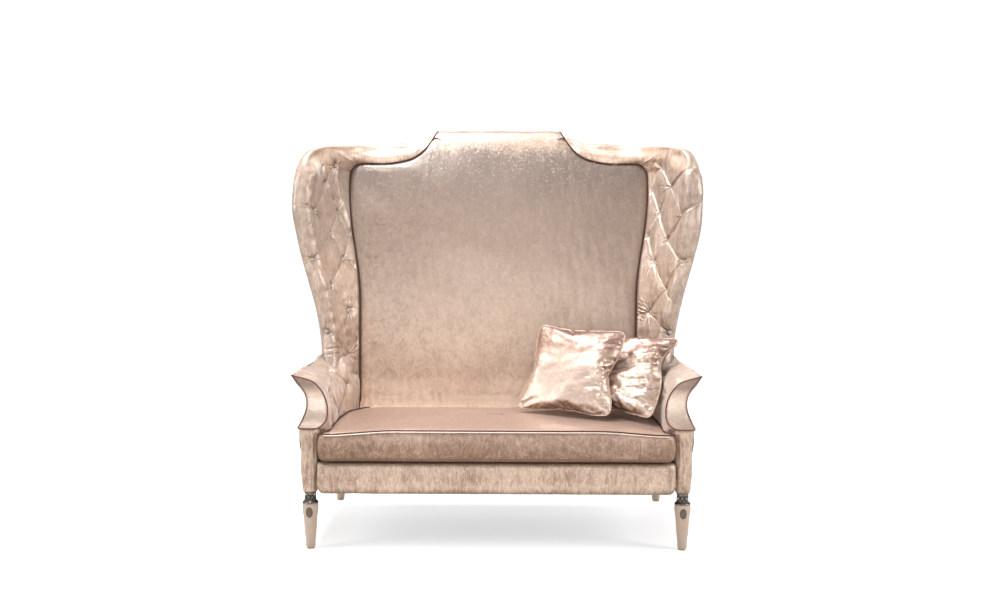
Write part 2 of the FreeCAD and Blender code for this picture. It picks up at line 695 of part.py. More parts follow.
def arm_buttons():
    places = []
    for y, z in ARM_BUTTONS:
        lift = arm_in(y) + ARM_TUFT
        face = Vector(-1, 0, 0)
        if z > ARM_BULGE_Z:
            share = min((z - ARM_BULGE_Z) / (lip_z(y) - ARM_BULGE_Z), 1.0)
            lift += (lip_x(y) - arm_in(y)) * 0.5 * share ** 2
            face = Vector(-1, 0, 0.5 * share).normalize()
        places.append((Vector(lift, y, z), face))
    return places


def arm_section(y):
    """Section of the arm pad across the seat: inner face, rolled top, lip and flank."""
    board_out = WAIST_X - SKIN - SOFT_GAP
    board_in = board_out - BOARD
    xi, xl, zl = arm_in(y), lip_x(y), lip_z(y)
    wide = xl - xi
    high = zl - ARM_BULGE_Z
    deck = CUSHION_BOTTOM - 0.2

    def at(share_x, share_z):
        return Vector(xi + wide * share_x, y, ARM_BULGE_Z + high * share_z)

    flank_low = Vector(WAIST_X - 1, y, ARM_WAIST_Z + SOFT_GAP)
    flank_mid = Vector(WAIST_X + (xl - WAIST_X) * 0.25, y, ARM_WAIST_Z + 0.4 * (zl - ARM_WAIST_Z))
    corners = [flank_low, Vector(board_out, y, ARM_WAIST_Z + SOFT_GAP),
               Vector(board_out, y, ARM_BOARD_TOP), Vector(board_in, y, ARM_BOARD_TOP),
               Vector(board_in, y, deck), Vector(xi, y, deck), at(0, 0)]
    edges = [arc(at(0, 0), at(0.12, 0.46), at(0.413, 0.8)),
             arc(at(0.413, 0.8), at(0.738, 0.90), at(1, 1)),
             arc(at(1, 1), flank_mid, flank_low)]
    for p, q in zip(corners, corners[1:]):
        edges.append(line(p, q))
    return edges


def arm_pad(pad, wing_board_shape, arm_board_shape, post_cover_shape):
    front_y = ARM_TIP_Y - 8
    count = 8
    stations = [WING_FRONT_LOW + (front_y - WING_FRONT_LOW) * i / count for i in range(count + 1)]
    front = ruled([arm_section(y) for y in stations])
    scoop = scoop_cylinder(SCOOP_RADIUS + FACING_THICK + SOFT_GAP)
    behind = POST_Y + POST_COVER_TOP + 4
    below = box(0, WIDE_OUT, front_y - 5, behind, 0, POST_TOP + SOFT_GAP)
    inner, outer = facing_edges()
    end_shape = prism(Part.__sortEdges__(inner + outer), Vector(0, -DEEP_OUT, 0))
    end_zone = box(0, WIDE_OUT, front_y - 5, behind, POST_TOP + SOFT_GAP, WAIST_Z)
    front = front.cut(scoop).cut(below)
    front = front.cut(end_zone.cut(end_shape))
    deck = CUSHION_BOTTOM - 0.2
    depth = BACK_Y + PAD_THICK - SOFT_GAP
    board_in = WAIST_X - SKIN - SOFT_GAP - BOARD
    y0 = WING_FRONT_LOW
    bend = arc(Vector(arm_in(y0), y0, deck), Vector(arm_in(45), 45, deck),
               Vector(PANEL_LOW + 4, BACK_Y + 2, deck))
    pts = [Vector(PANEL_LOW + 4, BACK_Y + 2, deck), Vector(PANEL_LOW + 4, depth, deck),
           Vector(board_in, depth, deck), Vector(board_in, y0, deck), Vector(arm_in(y0), y0, deck)]
    edges = [bend] + [line(p, q) for p, q in zip(pts, pts[1:])]
    rear = prism(edges, Vector(0, 0, WAIST_Z - SOFT_GAP - deck))
    whole = front.fuse(rear)
    for other in (pad, wing_board_shape, arm_board_shape, post_cover_shape):
        whole = whole.cut(other)
    return whole


def outside_arm():
    """Outside panel of the arm, padded to the same waist and hip as the arm's facing."""
    inner = WAIST_X - SKIN
    y0 = POST_Y + POST_COVER_TOP + 2
    pts = [Vector(inner, y0, COVER_BOTTOM), Vector(SIDE_BASE_X, y0, COVER_BOTTOM),
           Vector(SIDE_HIP_X, y0, SIDE_HIP_Z), Vector(WAIST_X - 1, y0, ARM_WAIST_Z),
           Vector(inner, y0, ARM_WAIST_Z)]
    mid = Vector(708, y0, 512)
    edges = [line(pts[0], pts[1]), line(pts[1], pts[2]), arc(pts[2], mid, pts[3]),
             line(pts[3], pts[4]), line(pts[4], pts[0])]
    return prism(edges, Vector(0, REAR_Y - SKIN - y0, 0))


def outside_back():
    body = slab(lambda z: rear_y(z, SKIN - SOFT_GAP), REAR_BEND_Z, rear_y, REAR_BEND_Z,
                COVER_BOTTOM, CREST_TOP - 10, -WIDE_OUT, WIDE_OUT)
    half = [Vector(SIDE_BASE_X, 0, COVER_BOTTOM), Vector(SIDE_HIP_X, 0, SIDE_HIP_Z),
            Vector(REAR_HALF, 0, ARM_WAIST_Z), Vector(REAR_HALF, 0, WAIST_Z)]
    levels = row_heights()[1:] + [BOARD_TOP, CAP_BOTTOM + CAP_RISES[1], CAP_BOTTOM + CAP_RISES[2]]
    half += [Vector(rear_x(z), 0, z) for z in levels]
    half += [Vector(SHOULDER_X - 30, 0, BORDER_TOP - 22), Vector(CREST_HALF + 110, 0, BORDER_TOP - 22),
             Vector(CREST_HALF + 20, 0, BORDER_TOP + 12), Vector(CREST_HALF - 10, 0, CREST_TOP - 10)]
    left = [Vector(-p.x, 0, p.z) for p in reversed(half)]
    return body.common(prism(ring(half + left), Vector(0, DEEP_OUT, 0)))


def post_cover():
    low = COVER_BOTTOM - FRONT_DROP
    r = POST_COVER_LOW
    pts = [Vector(0, 0, low), Vector(r - 6, 0, low), Vector(r, 0, low + 14),
           Vector(POST_COVER_TOP - 2, 0, low + 110), Vector(POST_COVER_TOP, 0, POST_TOP),
           Vector(0, 0, POST_TOP)]
    edges = [line(pts[0], pts[1]), arc(pts[1], Vector(r - 1.5, 0, low + 5), pts[2]),
             arc(pts[2], Vector(r + 4.2, 0, low + 60), pts[3]), line(pts[3], pts[4]),
             line(pts[4], pts[5]), line(pts[5], pts[0])]
    cover = Part.Face(Part.Wire(edges)).revolve(Vector(0, 0, 0), Vector(0, 0, 1), 360)
    cover.translate(Vector(POST_X, POST_Y, 0))
    return cover


def front_apron():
    y1 = RAIL_FRONT - SOFT_GAP
    y0 = y1 - APRON_THICK
    low = COVER_BOTTOM - FRONT_DROP
    half = POST_X - POST_COVER_TOP - 3
    pts = [(y1, low), (y0 + 9, low + 2), (y0 + 2, low + 18), (y0 + 2, APRON_TOP - 14),
           (y0 + 16, APRON_TOP), (y1, APRON_TOP)]
    v = [Vector(-half, y, z) for y, z in pts]
    mids = [Vector(-half, y0 + 3, low + 7), Vector(-half, y0, (low + APRON_TOP) / 2),
            Vector(-half, y0 + 6, APRON_TOP - 4)]
    edges = [line(v[0], v[1]), arc(v[1], mids[0], v[2]), arc(v[2], mids[1], v[3]),
             arc(v[3], mids[2], v[4]), line(v[4], v[5]), line(v[5], v[0])]
    body = prism(edges, Vector(2 * half, 0, 0))
    k = APRON_ROUND
    q = k * (1 - math.sqrt(0.5))
    side = [line(Vector(-half, 0, APRON_TOP + 9), Vector(-half, 0, low + k)),
            arc(Vector(-half, 0, low + k), Vector(q - half, 0, low + q), Vector(k - half, 0, low)),
            line(Vector(k - half, 0, low), Vector(half - k, 0, low)),
            arc(Vector(half - k, 0, low), Vector(half - q, 0, low + q), Vector(half, 0, low + k)),
            line(Vector(half, 0, low + k), Vector(half, 0, APRON_TOP + 9)),
            line(Vector(half, 0, APRON_TOP + 9), Vector(-half, 0, APRON_TOP + 9))]
    outline = prism(side, Vector(0, -DEEP_OUT, 0))
    return body.common(outline)


# Cushions

def cushion_corners(z, inset):
    """Right half of the seat cushion's plan at a height, drawn in from its full size."""
    wide = CUSHION_CORNER_X
    deep = (CUSHION_BACK - CUSHION_FRONT) / 2
    middle = (CUSHION_BACK + CUSHION_FRONT) / 2
    side = ARM_BULGE_X - CUSHION_GAP
    plan = [(0, CUSHION_FRONT), (wide - 15, CUSHION_FRONT + 3), (wide - 4.5, CUSHION_FRONT + 7),
            (wide, CUSHION_FRONT + 16), (wide, CUSHION_STEP_Y - 8), (wide - 9, CUSHION_STEP_Y - 1),
            (side - 0.5, CUSHION_STEP_Y + 6), (arm_in(-240) - CUSHION_GAP - 0.3, -240),
            (arm_in(-100) - CUSHION_GAP, -100), (arm_in(20) - CUSHION_GAP - 0.3, 20),
            (arm_in(75) - CUSHION_GAP - 16, CUSHION_BACK - 25), (PANEL_LOW - 45, CUSHION_BACK),
            (0, CUSHION_BACK)]
    return [Vector(x * (1 - inset / wide), middle + (y - middle) * (1 - inset / deep), z)
            for x, y in plan]


def cushion_outline(z, inset):
    half = cushion_corners(z, inset)
    mid_front = half[0].add(half[1]).multiply(0.5).sub(Vector(0, 0.6, 0))
    right = [arc(half[0], mid_front, half[1]), arc(half[1], half[2], half[3]), line(half[3], half[4]),
             arc(half[4], half[5], half[6]), arc(half[6], half[7], half[8]), line(half[8], half[9]),
             arc(half[9], half[10], half[11]), line(half[11], half[12])]
    left = [mirror(e) for e in right]
    return Part.__sortEdges__(right + left)


def seat_cushion():
    low, high = CUSHION_BOTTOM, CUSHION_EDGE
    edge = 10
    levels = [(low, 16), (low + 6, 6), (low + 20, 1.5), ((low + high) / 2, 0), (high - 16, 2),
              (high - 3, 5), (high + 1, edge)]
    steps = 6
    for i in range(1, steps + 1):
        share = i / steps
        levels.append((high + 1 + (CUSHION_CROWN - 1) * math.sin(share * math.pi / 2),
                       edge + CUSHION_ROLL * share ** 1.4))
    return ruled([cushion_outline(z, inset) for z, inset in levels])


def seat_piping():
    half = cushion_corners(CUSHION_EDGE, 4.5)
    right = half[1:-1]
    left = [Vector(-p.x, p.y, p.z) for p in reversed(right)]
    return loop_tube(right + left, 30.0, PIPING)


def scatter_outline(depth, share):
    """Outline of a scatter cushion in its own XZ plane, at a depth, scaled about its middle."""
    s = SCATTER_HALF
    r = SCATTER_CORNER
    k = r * (1 - math.sqrt(0.5))
    d = SCATTER_DRAWN
    side = [Vector(-s + r, depth, -s), Vector(0, depth, -s + d), Vector(s - r, depth, -s),
            Vector(s - k, depth, -s + k)]
    edges = []
    for i in range(4):
        turn = Rotation(Vector(0, 1, 0), -90 * i)
        after = Rotation(Vector(0, 1, 0), -90 * (i + 1))
        p = [turn.multVec(v) for v in side]
        p.append(after.multVec(side[0]))
        p = [Vector(v.x * share, depth, v.z * share) for v in p]
        edges.append(arc(p[0], p[1], p[2]))
        edges.append(arc(p[2], p[3], p[4]))
    return Part.__sortEdges__(edges)


def scatter_cushion():
    half = SCATTER_THICK / 2
    rings = [(0.22, 1.0), (0.48, 0.93), (0.74, 0.76), (0.93, 0.52), (1.0, 0.28)]
    levels = [(-half * a, b) for a, b in reversed(rings)] + [(half * a, b) for a, b in rings]
    return ruled([scatter_outline(depth, share) for depth, share in levels])


def scatter_piping():
    s, r, d = SCATTER_HALF, 12.0, SCATTER_DRAWN
    points = []
    for i in range(4):
        turn = Rotation(Vector(0, 1, 0), -90 * i)
        for x, z in ((-s * 0.5, -s + d * 0.75), (0, -s + d), (s * 0.5, -s + d * 0.75), (s - r, -s + 4),
                     (s - 4, -s + r)):
            points.append(turn.multVec(Vector(x, 0, z)))
    return loop_tube(points, 200.0, PIPING)


# turn about Z, lean about X, roll about Y, and the middle of the cushion
SCATTER_PLACES = {
    "front": (-21.7, -30.1, 1.5, Vector(299, -103, 630.8)),
    "rear": (-36.9, -36.6, 0.0, Vector(501, -90, 617)),
}


def placed(shape, place):
    turn, lean, roll, middle = place
    rotation = Rotation(Vector(0, 0, 1), turn).multiply(Rotation(Vector(1, 0, 0), lean))
    rotation = rotation.multiply(Rotation(Vector(0, 1, 0), roll))
    moved = shape.copy()
    moved.Placement = FreeCAD.Placement(middle, rotation)
    return moved


# Legs

def front_leg():
    pts = [Vector(0, 0, GLIDE_HIGH), Vector(LEG_FOOT_RADIUS - 2, 0, GLIDE_HIGH),
           Vector(LEG_FOOT_RADIUS, 0, GLIDE_HIGH + 2), Vector(LEG_TOP_RADIUS, 0, LEG_TOP - 3),
           Vector(LEG_TOP_RADIUS - 2, 0, LEG_TOP), Vector(0, 0, LEG_TOP)]
    leg = Part.Face(Part.Wire(ring(pts))).revolve(Vector(0, 0, 0), Vector(0, 0, 1), 360)
    leg.translate(Vector(POST_X, POST_Y, 0))
    return leg


def leg_collar():
    """Metal collar between leg and post: a dish, a ribbed neck and a ring."""
    top = COVER_BOTTOM - FRONT_DROP
    neck = COLLAR_NECK_RADIUS
    pts = [Vector(0, 0, LEG_TOP), Vector(LEG_TOP_RADIUS - 1, 0, LEG_TOP),
           Vector(LEG_TOP_RADIUS, 0, LEG_TOP + 3), Vector(neck + 4, 0, LEG_TOP + COLLAR_DISH),
           Vector(neck - 3, 0, LEG_TOP + COLLAR_DISH + 2), Vector(neck - 3, 0, top - 5),
           Vector(neck, 0, top - 4), Vector(neck, 0, top), Vector(0, 0, top)]
    body = Part.Face(Part.Wire(ring(pts))).revolve(Vector(0, 0, 0), Vector(0, 0, 1), 360)
    ribs = []
    for i in range(COLLAR_RIBS):
        a = 2 * math.pi * i / COLLAR_RIBS
        at = Vector((neck - 2.5) * math.cos(a), (neck - 2.5) * math.sin(a), LEG_TOP + COLLAR_DISH - 2)
        ribs.append(Part.makeCylinder(2.6, top - 3 - at.z, at))
    body = body.fuse(ribs)
    body = body.cut(Part.makeCylinder(BOLT_RADIUS + BOLT_RUN, 100, Vector(0, 0, LEG_TOP - 10)))
    body.translate(Vector(POST_X, POST_Y, 0))
    return body


def leg_badge():
    """Oval plate, curved to the leg, with a plain raised rim."""
    long, wide = BADGE_HIGH / 2, BADGE_WIDE / 2
    ellipse = Part.Ellipse(Vector(0, 0, 0), long, wide).toShape()
    rim = Part.Ellipse(Vector(0, 0, 0), long - BADGE_RIM, wide - BADGE_RIM).toShape()
    plate = Part.Face(Part.Wire([ellipse])).extrude(Vector(0, 0, 60))
    hollow = Part.Face(Part.Wire([rim])).extrude(Vector(0, 0, 60))
    for shape in (plate, hollow):
        shape.rotate(Vector(0, 0, 0), Vector(0, 0, 1), 90)
        shape.rotate(Vector(0, 0, 0), Vector(1, 0, 0), 90)
        shape.translate(Vector(POST_X, POST_Y, BADGE_Z))
    slope = (LEG_TOP_RADIUS - LEG_FOOT_RADIUS) / (LEG_TOP - GLIDE_HIGH)

    def cone(extra):
        low, high = BADGE_Z - 30, BADGE_Z + 29
        r0 = LEG_FOOT_RADIUS + slope * (low - GLIDE_HIGH) + extra
        r1 = LEG_FOOT_RADIUS + slope * (high - GLIDE_HIGH) + extra
        return Part.makeCone(r0, r1, high - low, Vector(POST_X, POST_Y, low))

    badge = plate.common(cone(BADGE_THICK)).cut(cone(SOFT_GAP))
    return badge.cut(hollow.cut(cone(BADGE_THICK / 2)))


def rear_leg():
    low = Part.makeCircle(LEG_FOOT_RADIUS, Vector(*REAR_LEG_FOOT, GLIDE_HIGH))
    high = Part.makeCircle(REAR_LEG_RADIUS, Vector(*REAR_LEG_TOP, RAIL_BOTTOM))
    return Part.makeLoft([Part.Wire(low), Part.Wire(high)], True, True)


def build():
    nodes = {}

    def pair(name, shape):
        nodes[name + "_right"] = shape
        nodes[name + "_left"] = mirror(shape)

    front, rear_seat, back, side, rail_in, rail_out = rails()
    half = POST_TIMBER / 2
    post = box(POST_X - half, POST_X + half, POST_Y - half, POST_Y + half,
               COVER_BOTTOM + 7, POST_TOP)
    cover = post_cover()
    board = arm_board()
    wing_board = wing_layer(ARM_BOARD_TOP + SOFT_GAP, BOARD_TOP, SKIN + SOFT_GAP,
                            SKIN + SOFT_GAP + BOARD)
    wing_skin = wing_layer(ARM_WAIST_Z + SOFT_GAP, CAP_BOTTOM - SOFT_GAP, 0, SKIN)
    rib_x = RIB_X
    rib = back_rib(rib_x, CREST_RAIL_SIDE - 33)
    rib_centre = back_rib(0, CREST_RAIL_LOW)
    rail_top = crest_rail(rib_x - RIB / 2)
    leg = front_leg()
    leg_rear = rear_leg()

    # Fixings come first, because what they go through is bored from them.
    bolt_front = rod(Vector(POST_X, POST_Y, LEG_TOP - BOLT_REACH), Vector(POST_X, POST_Y, RAIL_TOP),
                     BOLT_RADIUS)
    bolt_x = (rail_in + rail_out) / 2
    bolt_y = REAR_LEG_TOP[1] - 4
    bolt_rear = rod(Vector(bolt_x, bolt_y, RAIL_BOTTOM - BOLT_REACH),
                    Vector(bolt_x, bolt_y, RAIL_BOTTOM + BOLT_REACH), BOLT_RADIUS)
    bolts = [bolt_front, bolt_rear]
    block = BLOCK_LEG
    block_low, block_high = RAIL_BOTTOM + BLOCK_INSET, RAIL_TOP - BLOCK_INSET
    front_y = RAIL_FRONT + RAIL_THICK
    blocks = [corner_block(rail_in, front_y, -block, block, block_low, block_high),
              corner_block(rail_in, BACK_RAIL, -block, -block, block_low, block_high)]
    screws = []
    for y in (front_y + SCREW_ALONG, BACK_RAIL - SCREW_ALONG):
        for z in (block_low + SCREW_INSET, block_high - SCREW_INSET):
            head = rail_in - block + SCREW_ALONG
            screws.append(rod(Vector(head, y, z), Vector(rail_in + SCREW_BITE, y, z), SCREW_RADIUS))
    fixings = Part.Compound(bolts + screws)

    stretchers = []
    for x in (-STRETCHER_X, STRETCHER_X):
        x0, x1 = x - STRETCHER_WIDE / 2, x + STRETCHER_WIDE / 2
        top = RAIL_TOP - STRETCHER_DROP
        stretchers.append(box(x0, x1, front_y, SEAT_REAR_RAIL, RAIL_BOTTOM, top))
        stretchers.append(box(x0, x1, SEAT_REAR_RAIL + RAIL_THICK, BACK_RAIL, RAIL_BOTTOM, top))
    mid_thick, mid_low, mid_high = MID_RAIL
    mid_y = back_y(mid_high, PAD_THICK) + MID_RAIL_BACK
    mid_rails = [box(RIB / 2, rib_x - RIB / 2, mid_y, mid_y + mid_thick, mid_low, mid_high)]
    spacers = []
    for z in SPACER_Z:
        y0 = back_y(z, PAD_THICK) + MID_RAIL_BACK
        raw = box(rib_x + RIB / 2, FULL_X, y0, y0 + SPACER_DEEP, z, z + SPACER_HIGH)
        outside = wing_layer(ARM_BOARD_TOP + SOFT_GAP, BOARD_TOP, -FULL_X, SKIN + SOFT_GAP)
        spacers.append(raw.cut(wing_board).cut(outside))

    nodes["front_rail"] = front
    nodes["rear_seat_rail"] = rear_seat
    nodes["back_rail"] = back
    pair("side_rail", side.cut(fixings))
    nodes["seat_stretchers"] = Part.Compound(stretchers)
    nodes["corner_blocks"] = Part.Compound([s.cut(fixings) for s in blocks]
                                           + [mirror(s.cut(fixings)) for s in blocks])
    pair("front_post", post.cut(fixings))
    pair("arm_board", board)
    pair("wing_board", wing_board)
    pair("back_rib", rib)
    nodes["back_rib_centre"] = rib_centre
    nodes["back_mid_rails"] = Part.Compound(mid_rails + [mirror(s) for s in mid_rails])
    nodes["wing_spacers"] = Part.Compound(spacers + [mirror(s) for s in spacers])
    nodes["crest_rail"] = rail_top
    nodes["leg_bolts"] = Part.Compound(bolts + [mirror(s) for s in bolts])
    nodes["frame_screws"] = Part.Compound(screws + [mirror(s) for s in screws])

    # Suspension
    strap_z = RAIL_TOP
    seat_straps = []
    for i in range(SEAT_STRAP_COUNT):
        x = SEAT_STRAP_PITCH * (i - (SEAT_STRAP_COUNT - 1) / 2)
        seat_straps.append(box(x - STRAP_WIDE / 2, x + STRAP_WIDE / 2, RAIL_FRONT + 2,
                               SEAT_REAR_RAIL + RAIL_THICK - 2, strap_z, strap_z + STRAP_THICK))
    for y in CROSS_STRAP_Y:
        seat_straps.append(box(-rail_out + 4, rail_out - 4, y - STRAP_WIDE / 2, y + STRAP_WIDE / 2,
                               strap_z + STRAP_THICK, strap_z + 2 * STRAP_THICK))
    nodes["seat_webbing"] = Part.Compound(seat_straps)
    back_straps = []
    strap_rear = PAD_THICK + STRAP_PLAY
    for i in range(BACK_STRAP_COUNT):
        z = BACK_STRAP_FIRST + BACK_STRAP_PITCH * i
        back_straps.append(slab(lambda h: back_y(h, strap_rear - STRAP_THICK), BEND_Z,
                                lambda h: back_y(h, strap_rear), BEND_Z,
                                z - STRAP_WIDE / 2, z + STRAP_WIDE / 2, -rib_x - RIB / 2, rib_x + RIB / 2))
    nodes["back_webbing"] = Part.Compound(back_straps)
    deck_low = strap_z + 2 * STRAP_THICK + SOFT_GAP
    nodes["deck_pad"] = box(-rail_out + 6, rail_out - 6, RAIL_FRONT, SEAT_REAR_RAIL - 2, deck_low,
                            deck_low + DECK_THICK)
    nodes["deck_pad"] = nodes["deck_pad"].cut(Part.Compound([cover, mirror(cover)]))
    nodes["dust_cover"] = box(-rail_in + 20, rail_in - 20, RAIL_FRONT + 3, BACK_RAIL + RAIL_THICK - 4,
                              RAIL_BOTTOM - DUST_COVER, RAIL_BOTTOM)

    # Fixed upholstery
    pad = back_pad()
    piping_right = back_piping(1)
    piping_left = back_piping(-1)
    pad = pad.cut(Part.Compound([piping_right, piping_left]))
    nodes["back_pad"] = pad
    nodes["back_piping"] = Part.Compound([piping_right, piping_left])

    wing = wing_pad(pad, wing_board).cut(piping_right)
    wing_buttons = []
    for z, share, lift in wing_button_places():
        wing_buttons.append(button(tuft_point(z, share, lift), wing_inner(z)[2]))
    cover_cut = Part.Compound([front, side, board, post])
    cover = cover.cut(cover_cut).cut(fixings)
    arm = arm_pad(pad, wing_board, board, cover)
    arm_button_solids = [button(place, face) for place, face in arm_buttons()]
    buttons = [s.cut(piping_right) for s in wing_buttons + arm_button_solids]
    wing = wing.cut(Part.Compound(buttons))
    arm = arm.cut(Part.Compound(buttons)).cut(wing).cut(piping_right)
    pair("wing_pad", wing)
    pair("arm_pad", arm)
    nodes["buttons"] = Part.Compound(buttons + [mirror(s) for s in buttons])
    border = top_border(pad, rail_top, rib).cut(piping_right)
    pair("top_border", border)

    inner, outer = facing_edges()
    outline = prism(Part.__sortEdges__(inner + outer), Vector(0, -DEEP_OUT, 0))
    shell = scoop_cylinder(SCOOP_RADIUS + FACING_THICK).cut(scoop_cylinder(SCOOP_RADIUS))
    facing = outline.common(shell).common(box(0, WIDE_OUT, ARM_TIP_Y - 1, 0, 0, WAIST_Z))
    pipes = []
    for group in facing_edges(FACING_PIPING + 1):
        pts = []
        for edge in group:
            count = max(2, int(edge.Length / 22))
            for p in edge.discretize(count + 1)[:-1]:
                pts.append(p)
        pts.append(group[-1].valueAt(group[-1].LastParameter))
        pts = [Vector(p.x, scoop_y(p.z) - FACING_PIPING - SOFT_GAP, p.z) for p in pts]
        pipes.append(tube(pts, 40.0, FACING_PIPING))
    pair("arm_facing", facing.cut(Part.Compound(pipes)))
    pipes = [pipes[0], pipes[1].cut(pipes[0])]
    nodes["facing_piping"] = Part.Compound(pipes + [mirror(s) for s in pipes])
    pair("post_cover", cover)
    nodes["front_apron"] = front_apron()
    pair("outside_arm", outside_arm())
    pair("outside_wing", wing_skin)
    nodes["outside_back"] = outside_back()

    # Legs
    pair("front_leg", leg.cut(fixings))
    pair("leg_collar", leg_collar())
    badge = leg_badge()
    nodes["leg_badges"] = Part.Compound([badge, mirror(badge)])
    pair("rear_leg", leg_rear.cut(fixings))
    glides = [Part.makeCylinder(LEG_FOOT_RADIUS - 3, GLIDE_HIGH, Vector(x, y, 0))
              for x, y in ((POST_X, POST_Y), REAR_LEG_FOOT)]
    nodes["leg_glides"] = Part.Compound(glides + [mirror(s) for s in glides])

    # Loose cushions
    seat_tube = seat_piping()
    nodes["seat_cushion"] = seat_cushion().cut(seat_tube)
    nodes["seat_cushion_piping"] = seat_tube
    zip_long, zip_high, zip_thick = ZIP
    zip_low = CUSHION_BOTTOM + ZIP_RISE
    nodes["seat_cushion_zip"] = box(-zip_long / 2, zip_long / 2, CUSHION_BACK, CUSHION_BACK + zip_thick,
                                    zip_low, zip_low + zip_high)
    scatter_tube = scatter_piping()
    scatter = scatter_cushion().cut(scatter_tube)
    for name, place in SCATTER_PLACES.items():
        nodes["scatter_cushion_" + name] = placed(scatter, place)
        nodes["scatter_piping_" + name] = placed(scatter_tube, place)
    return nodes


def solids_only(shape):
    solids = shape.Solids
    return solids[0] if len(solids) == 1 else Part.Compound(solids)


os.makedirs("parts", exist_ok=True)
for node_name, node_shape in build().items():
    kept = solids_only(node_shape)
    kept.exportStep("parts/" + node_name + ".step")
    print(node_name, len(kept.Solids), round(kept.Volume / 1000.0, 1), kept.isValid())
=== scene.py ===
import json
import math

import bpy
import numpy as np
from mathutils import Matrix, Vector
from mathutils.kdtree import KDTree


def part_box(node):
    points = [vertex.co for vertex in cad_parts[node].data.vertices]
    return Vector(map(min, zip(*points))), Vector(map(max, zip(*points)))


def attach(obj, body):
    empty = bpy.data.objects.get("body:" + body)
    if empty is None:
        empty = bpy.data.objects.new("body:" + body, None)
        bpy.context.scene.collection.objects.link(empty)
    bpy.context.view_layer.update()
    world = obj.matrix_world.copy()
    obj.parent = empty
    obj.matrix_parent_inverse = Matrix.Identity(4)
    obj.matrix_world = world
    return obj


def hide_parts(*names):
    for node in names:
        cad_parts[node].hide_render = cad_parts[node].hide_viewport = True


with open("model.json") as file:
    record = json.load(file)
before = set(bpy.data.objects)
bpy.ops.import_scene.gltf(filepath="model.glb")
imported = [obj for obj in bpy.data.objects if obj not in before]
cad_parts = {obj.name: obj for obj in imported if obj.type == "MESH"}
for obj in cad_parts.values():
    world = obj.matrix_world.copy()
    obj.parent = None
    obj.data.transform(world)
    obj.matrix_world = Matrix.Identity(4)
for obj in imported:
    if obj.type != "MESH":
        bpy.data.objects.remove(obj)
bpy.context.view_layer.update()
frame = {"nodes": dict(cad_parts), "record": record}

# Looks of the wing-back loveseat. Metres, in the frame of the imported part: +X right, the front faces
# -Y, +Z up. Surfaces are grids of points in numpy, worked out on the right-hand side and mirrored.

SIDES = (("right", 1.0), ("left", -1.0))

# Shape of the seat, as in the part

CREST_TOP, CREST_FRONT = 1.583, 1.540
PANEL_TOP, PANEL_CORNER, PANEL_LOW, PANEL_FULL = 1.443, 0.045, 0.560, 0.612
WAIST_X, FULL_X, WAIST_Z, FULL_Z, SHOULDER_Z, WING_TOP = 0.702, 0.795, 0.700, 1.260, 1.300, 1.507
ARM_TIP = (0.748, -0.420, 0.650)
BULGE = (0.622, -0.300, 0.510)
POST = (0.687, -0.383)
# Lowest and highest place of the hollow front, and the outside arm's half width up its height
SCOOP_LOW, SCOOP_HIGH = 0.4515, 0.6495
SIDE_HEIGHTS = [0.222, 0.32, 0.461, 0.512, 0.566]


def smooth(t):
    t = np.clip(t, 0.0, 1.0)
    return t * t * (3 - 2 * t)


def shoulder(z):
    t = np.clip((z - SHOULDER_Z) / (WING_TOP - SHOULDER_Z), 0.0, 1.0)
    return np.maximum(1 - t ** 2.4, 0.0) ** (1 / 2.4)


def wing_x(z):
    side = WAIST_X + (FULL_X - WAIST_X) * smooth((z - WAIST_Z) / (FULL_Z - WAIST_Z))
    return 0.690 + (side - 0.690) * shoulder(z)


def wing_y(z):
    front = -0.020 - 0.080 * np.clip((z - WAIST_Z) / (FULL_Z - WAIST_Z), 0, 1)
    return 0.060 + (front - 0.060) * shoulder(z)


def rear_x(z):
    side = 0.702 + 0.033 * smooth((z - WAIST_Z) / (FULL_Z - WAIST_Z))
    return 0.640 + (side - 0.640) * shoulder(z)


def back_y(z):
    z = np.asarray(z, float)
    return np.where(z <= 0.6, 0.112, 0.112 + 2.4 - np.sqrt(2.4 ** 2 - np.clip(z - 0.6, 0, 1) ** 2))


def rear_y(z):
    z = np.asarray(z, float)
    return np.where(z <= 0.5, 0.335, 0.335 + 5.525 - np.sqrt(5.525 ** 2 - np.clip(z - 0.5, 0, 2) ** 2))


def panel_x(z):
    return PANEL_LOW + (PANEL_FULL - PANEL_LOW) * smooth((np.asarray(z) - 0.88) / 0.46)


def arm_in(y):
    back = PANEL_LOW + 0.003
    return BULGE[0] - (BULGE[0] - back) * (np.maximum(np.asarray(y, float) + 0.3, 0) / 0.412) ** 2


def lip_x(y):
    return WAIST_X + 0.046 * (np.maximum(-np.asarray(y, float), 0) / 0.42) ** 1.2


def lip_z(y):
    share = 1 - np.maximum(-np.asarray(y, float), 0) / 0.42
    near = np.maximum(1 + np.asarray(y, float) / 0.12, 0)
    return 0.650 + 0.014 * share + 0.006 * np.sin(math.pi * np.clip(1 - share, 0, 1)) \
        + 0.026 * np.minimum(near, 1.0) ** 2


def scoop_y(z):
    """Depth of an arm's hollow front, a part of a circle that ends at the arm's tip."""
    radius, middle = 0.125, 0.551
    centre = ARM_TIP[1] - math.sqrt(radius ** 2 - 0.099 ** 2)
    return centre + np.sqrt(np.maximum(radius ** 2 - (np.asarray(z) - middle) ** 2, 0))


# Numbers and grids

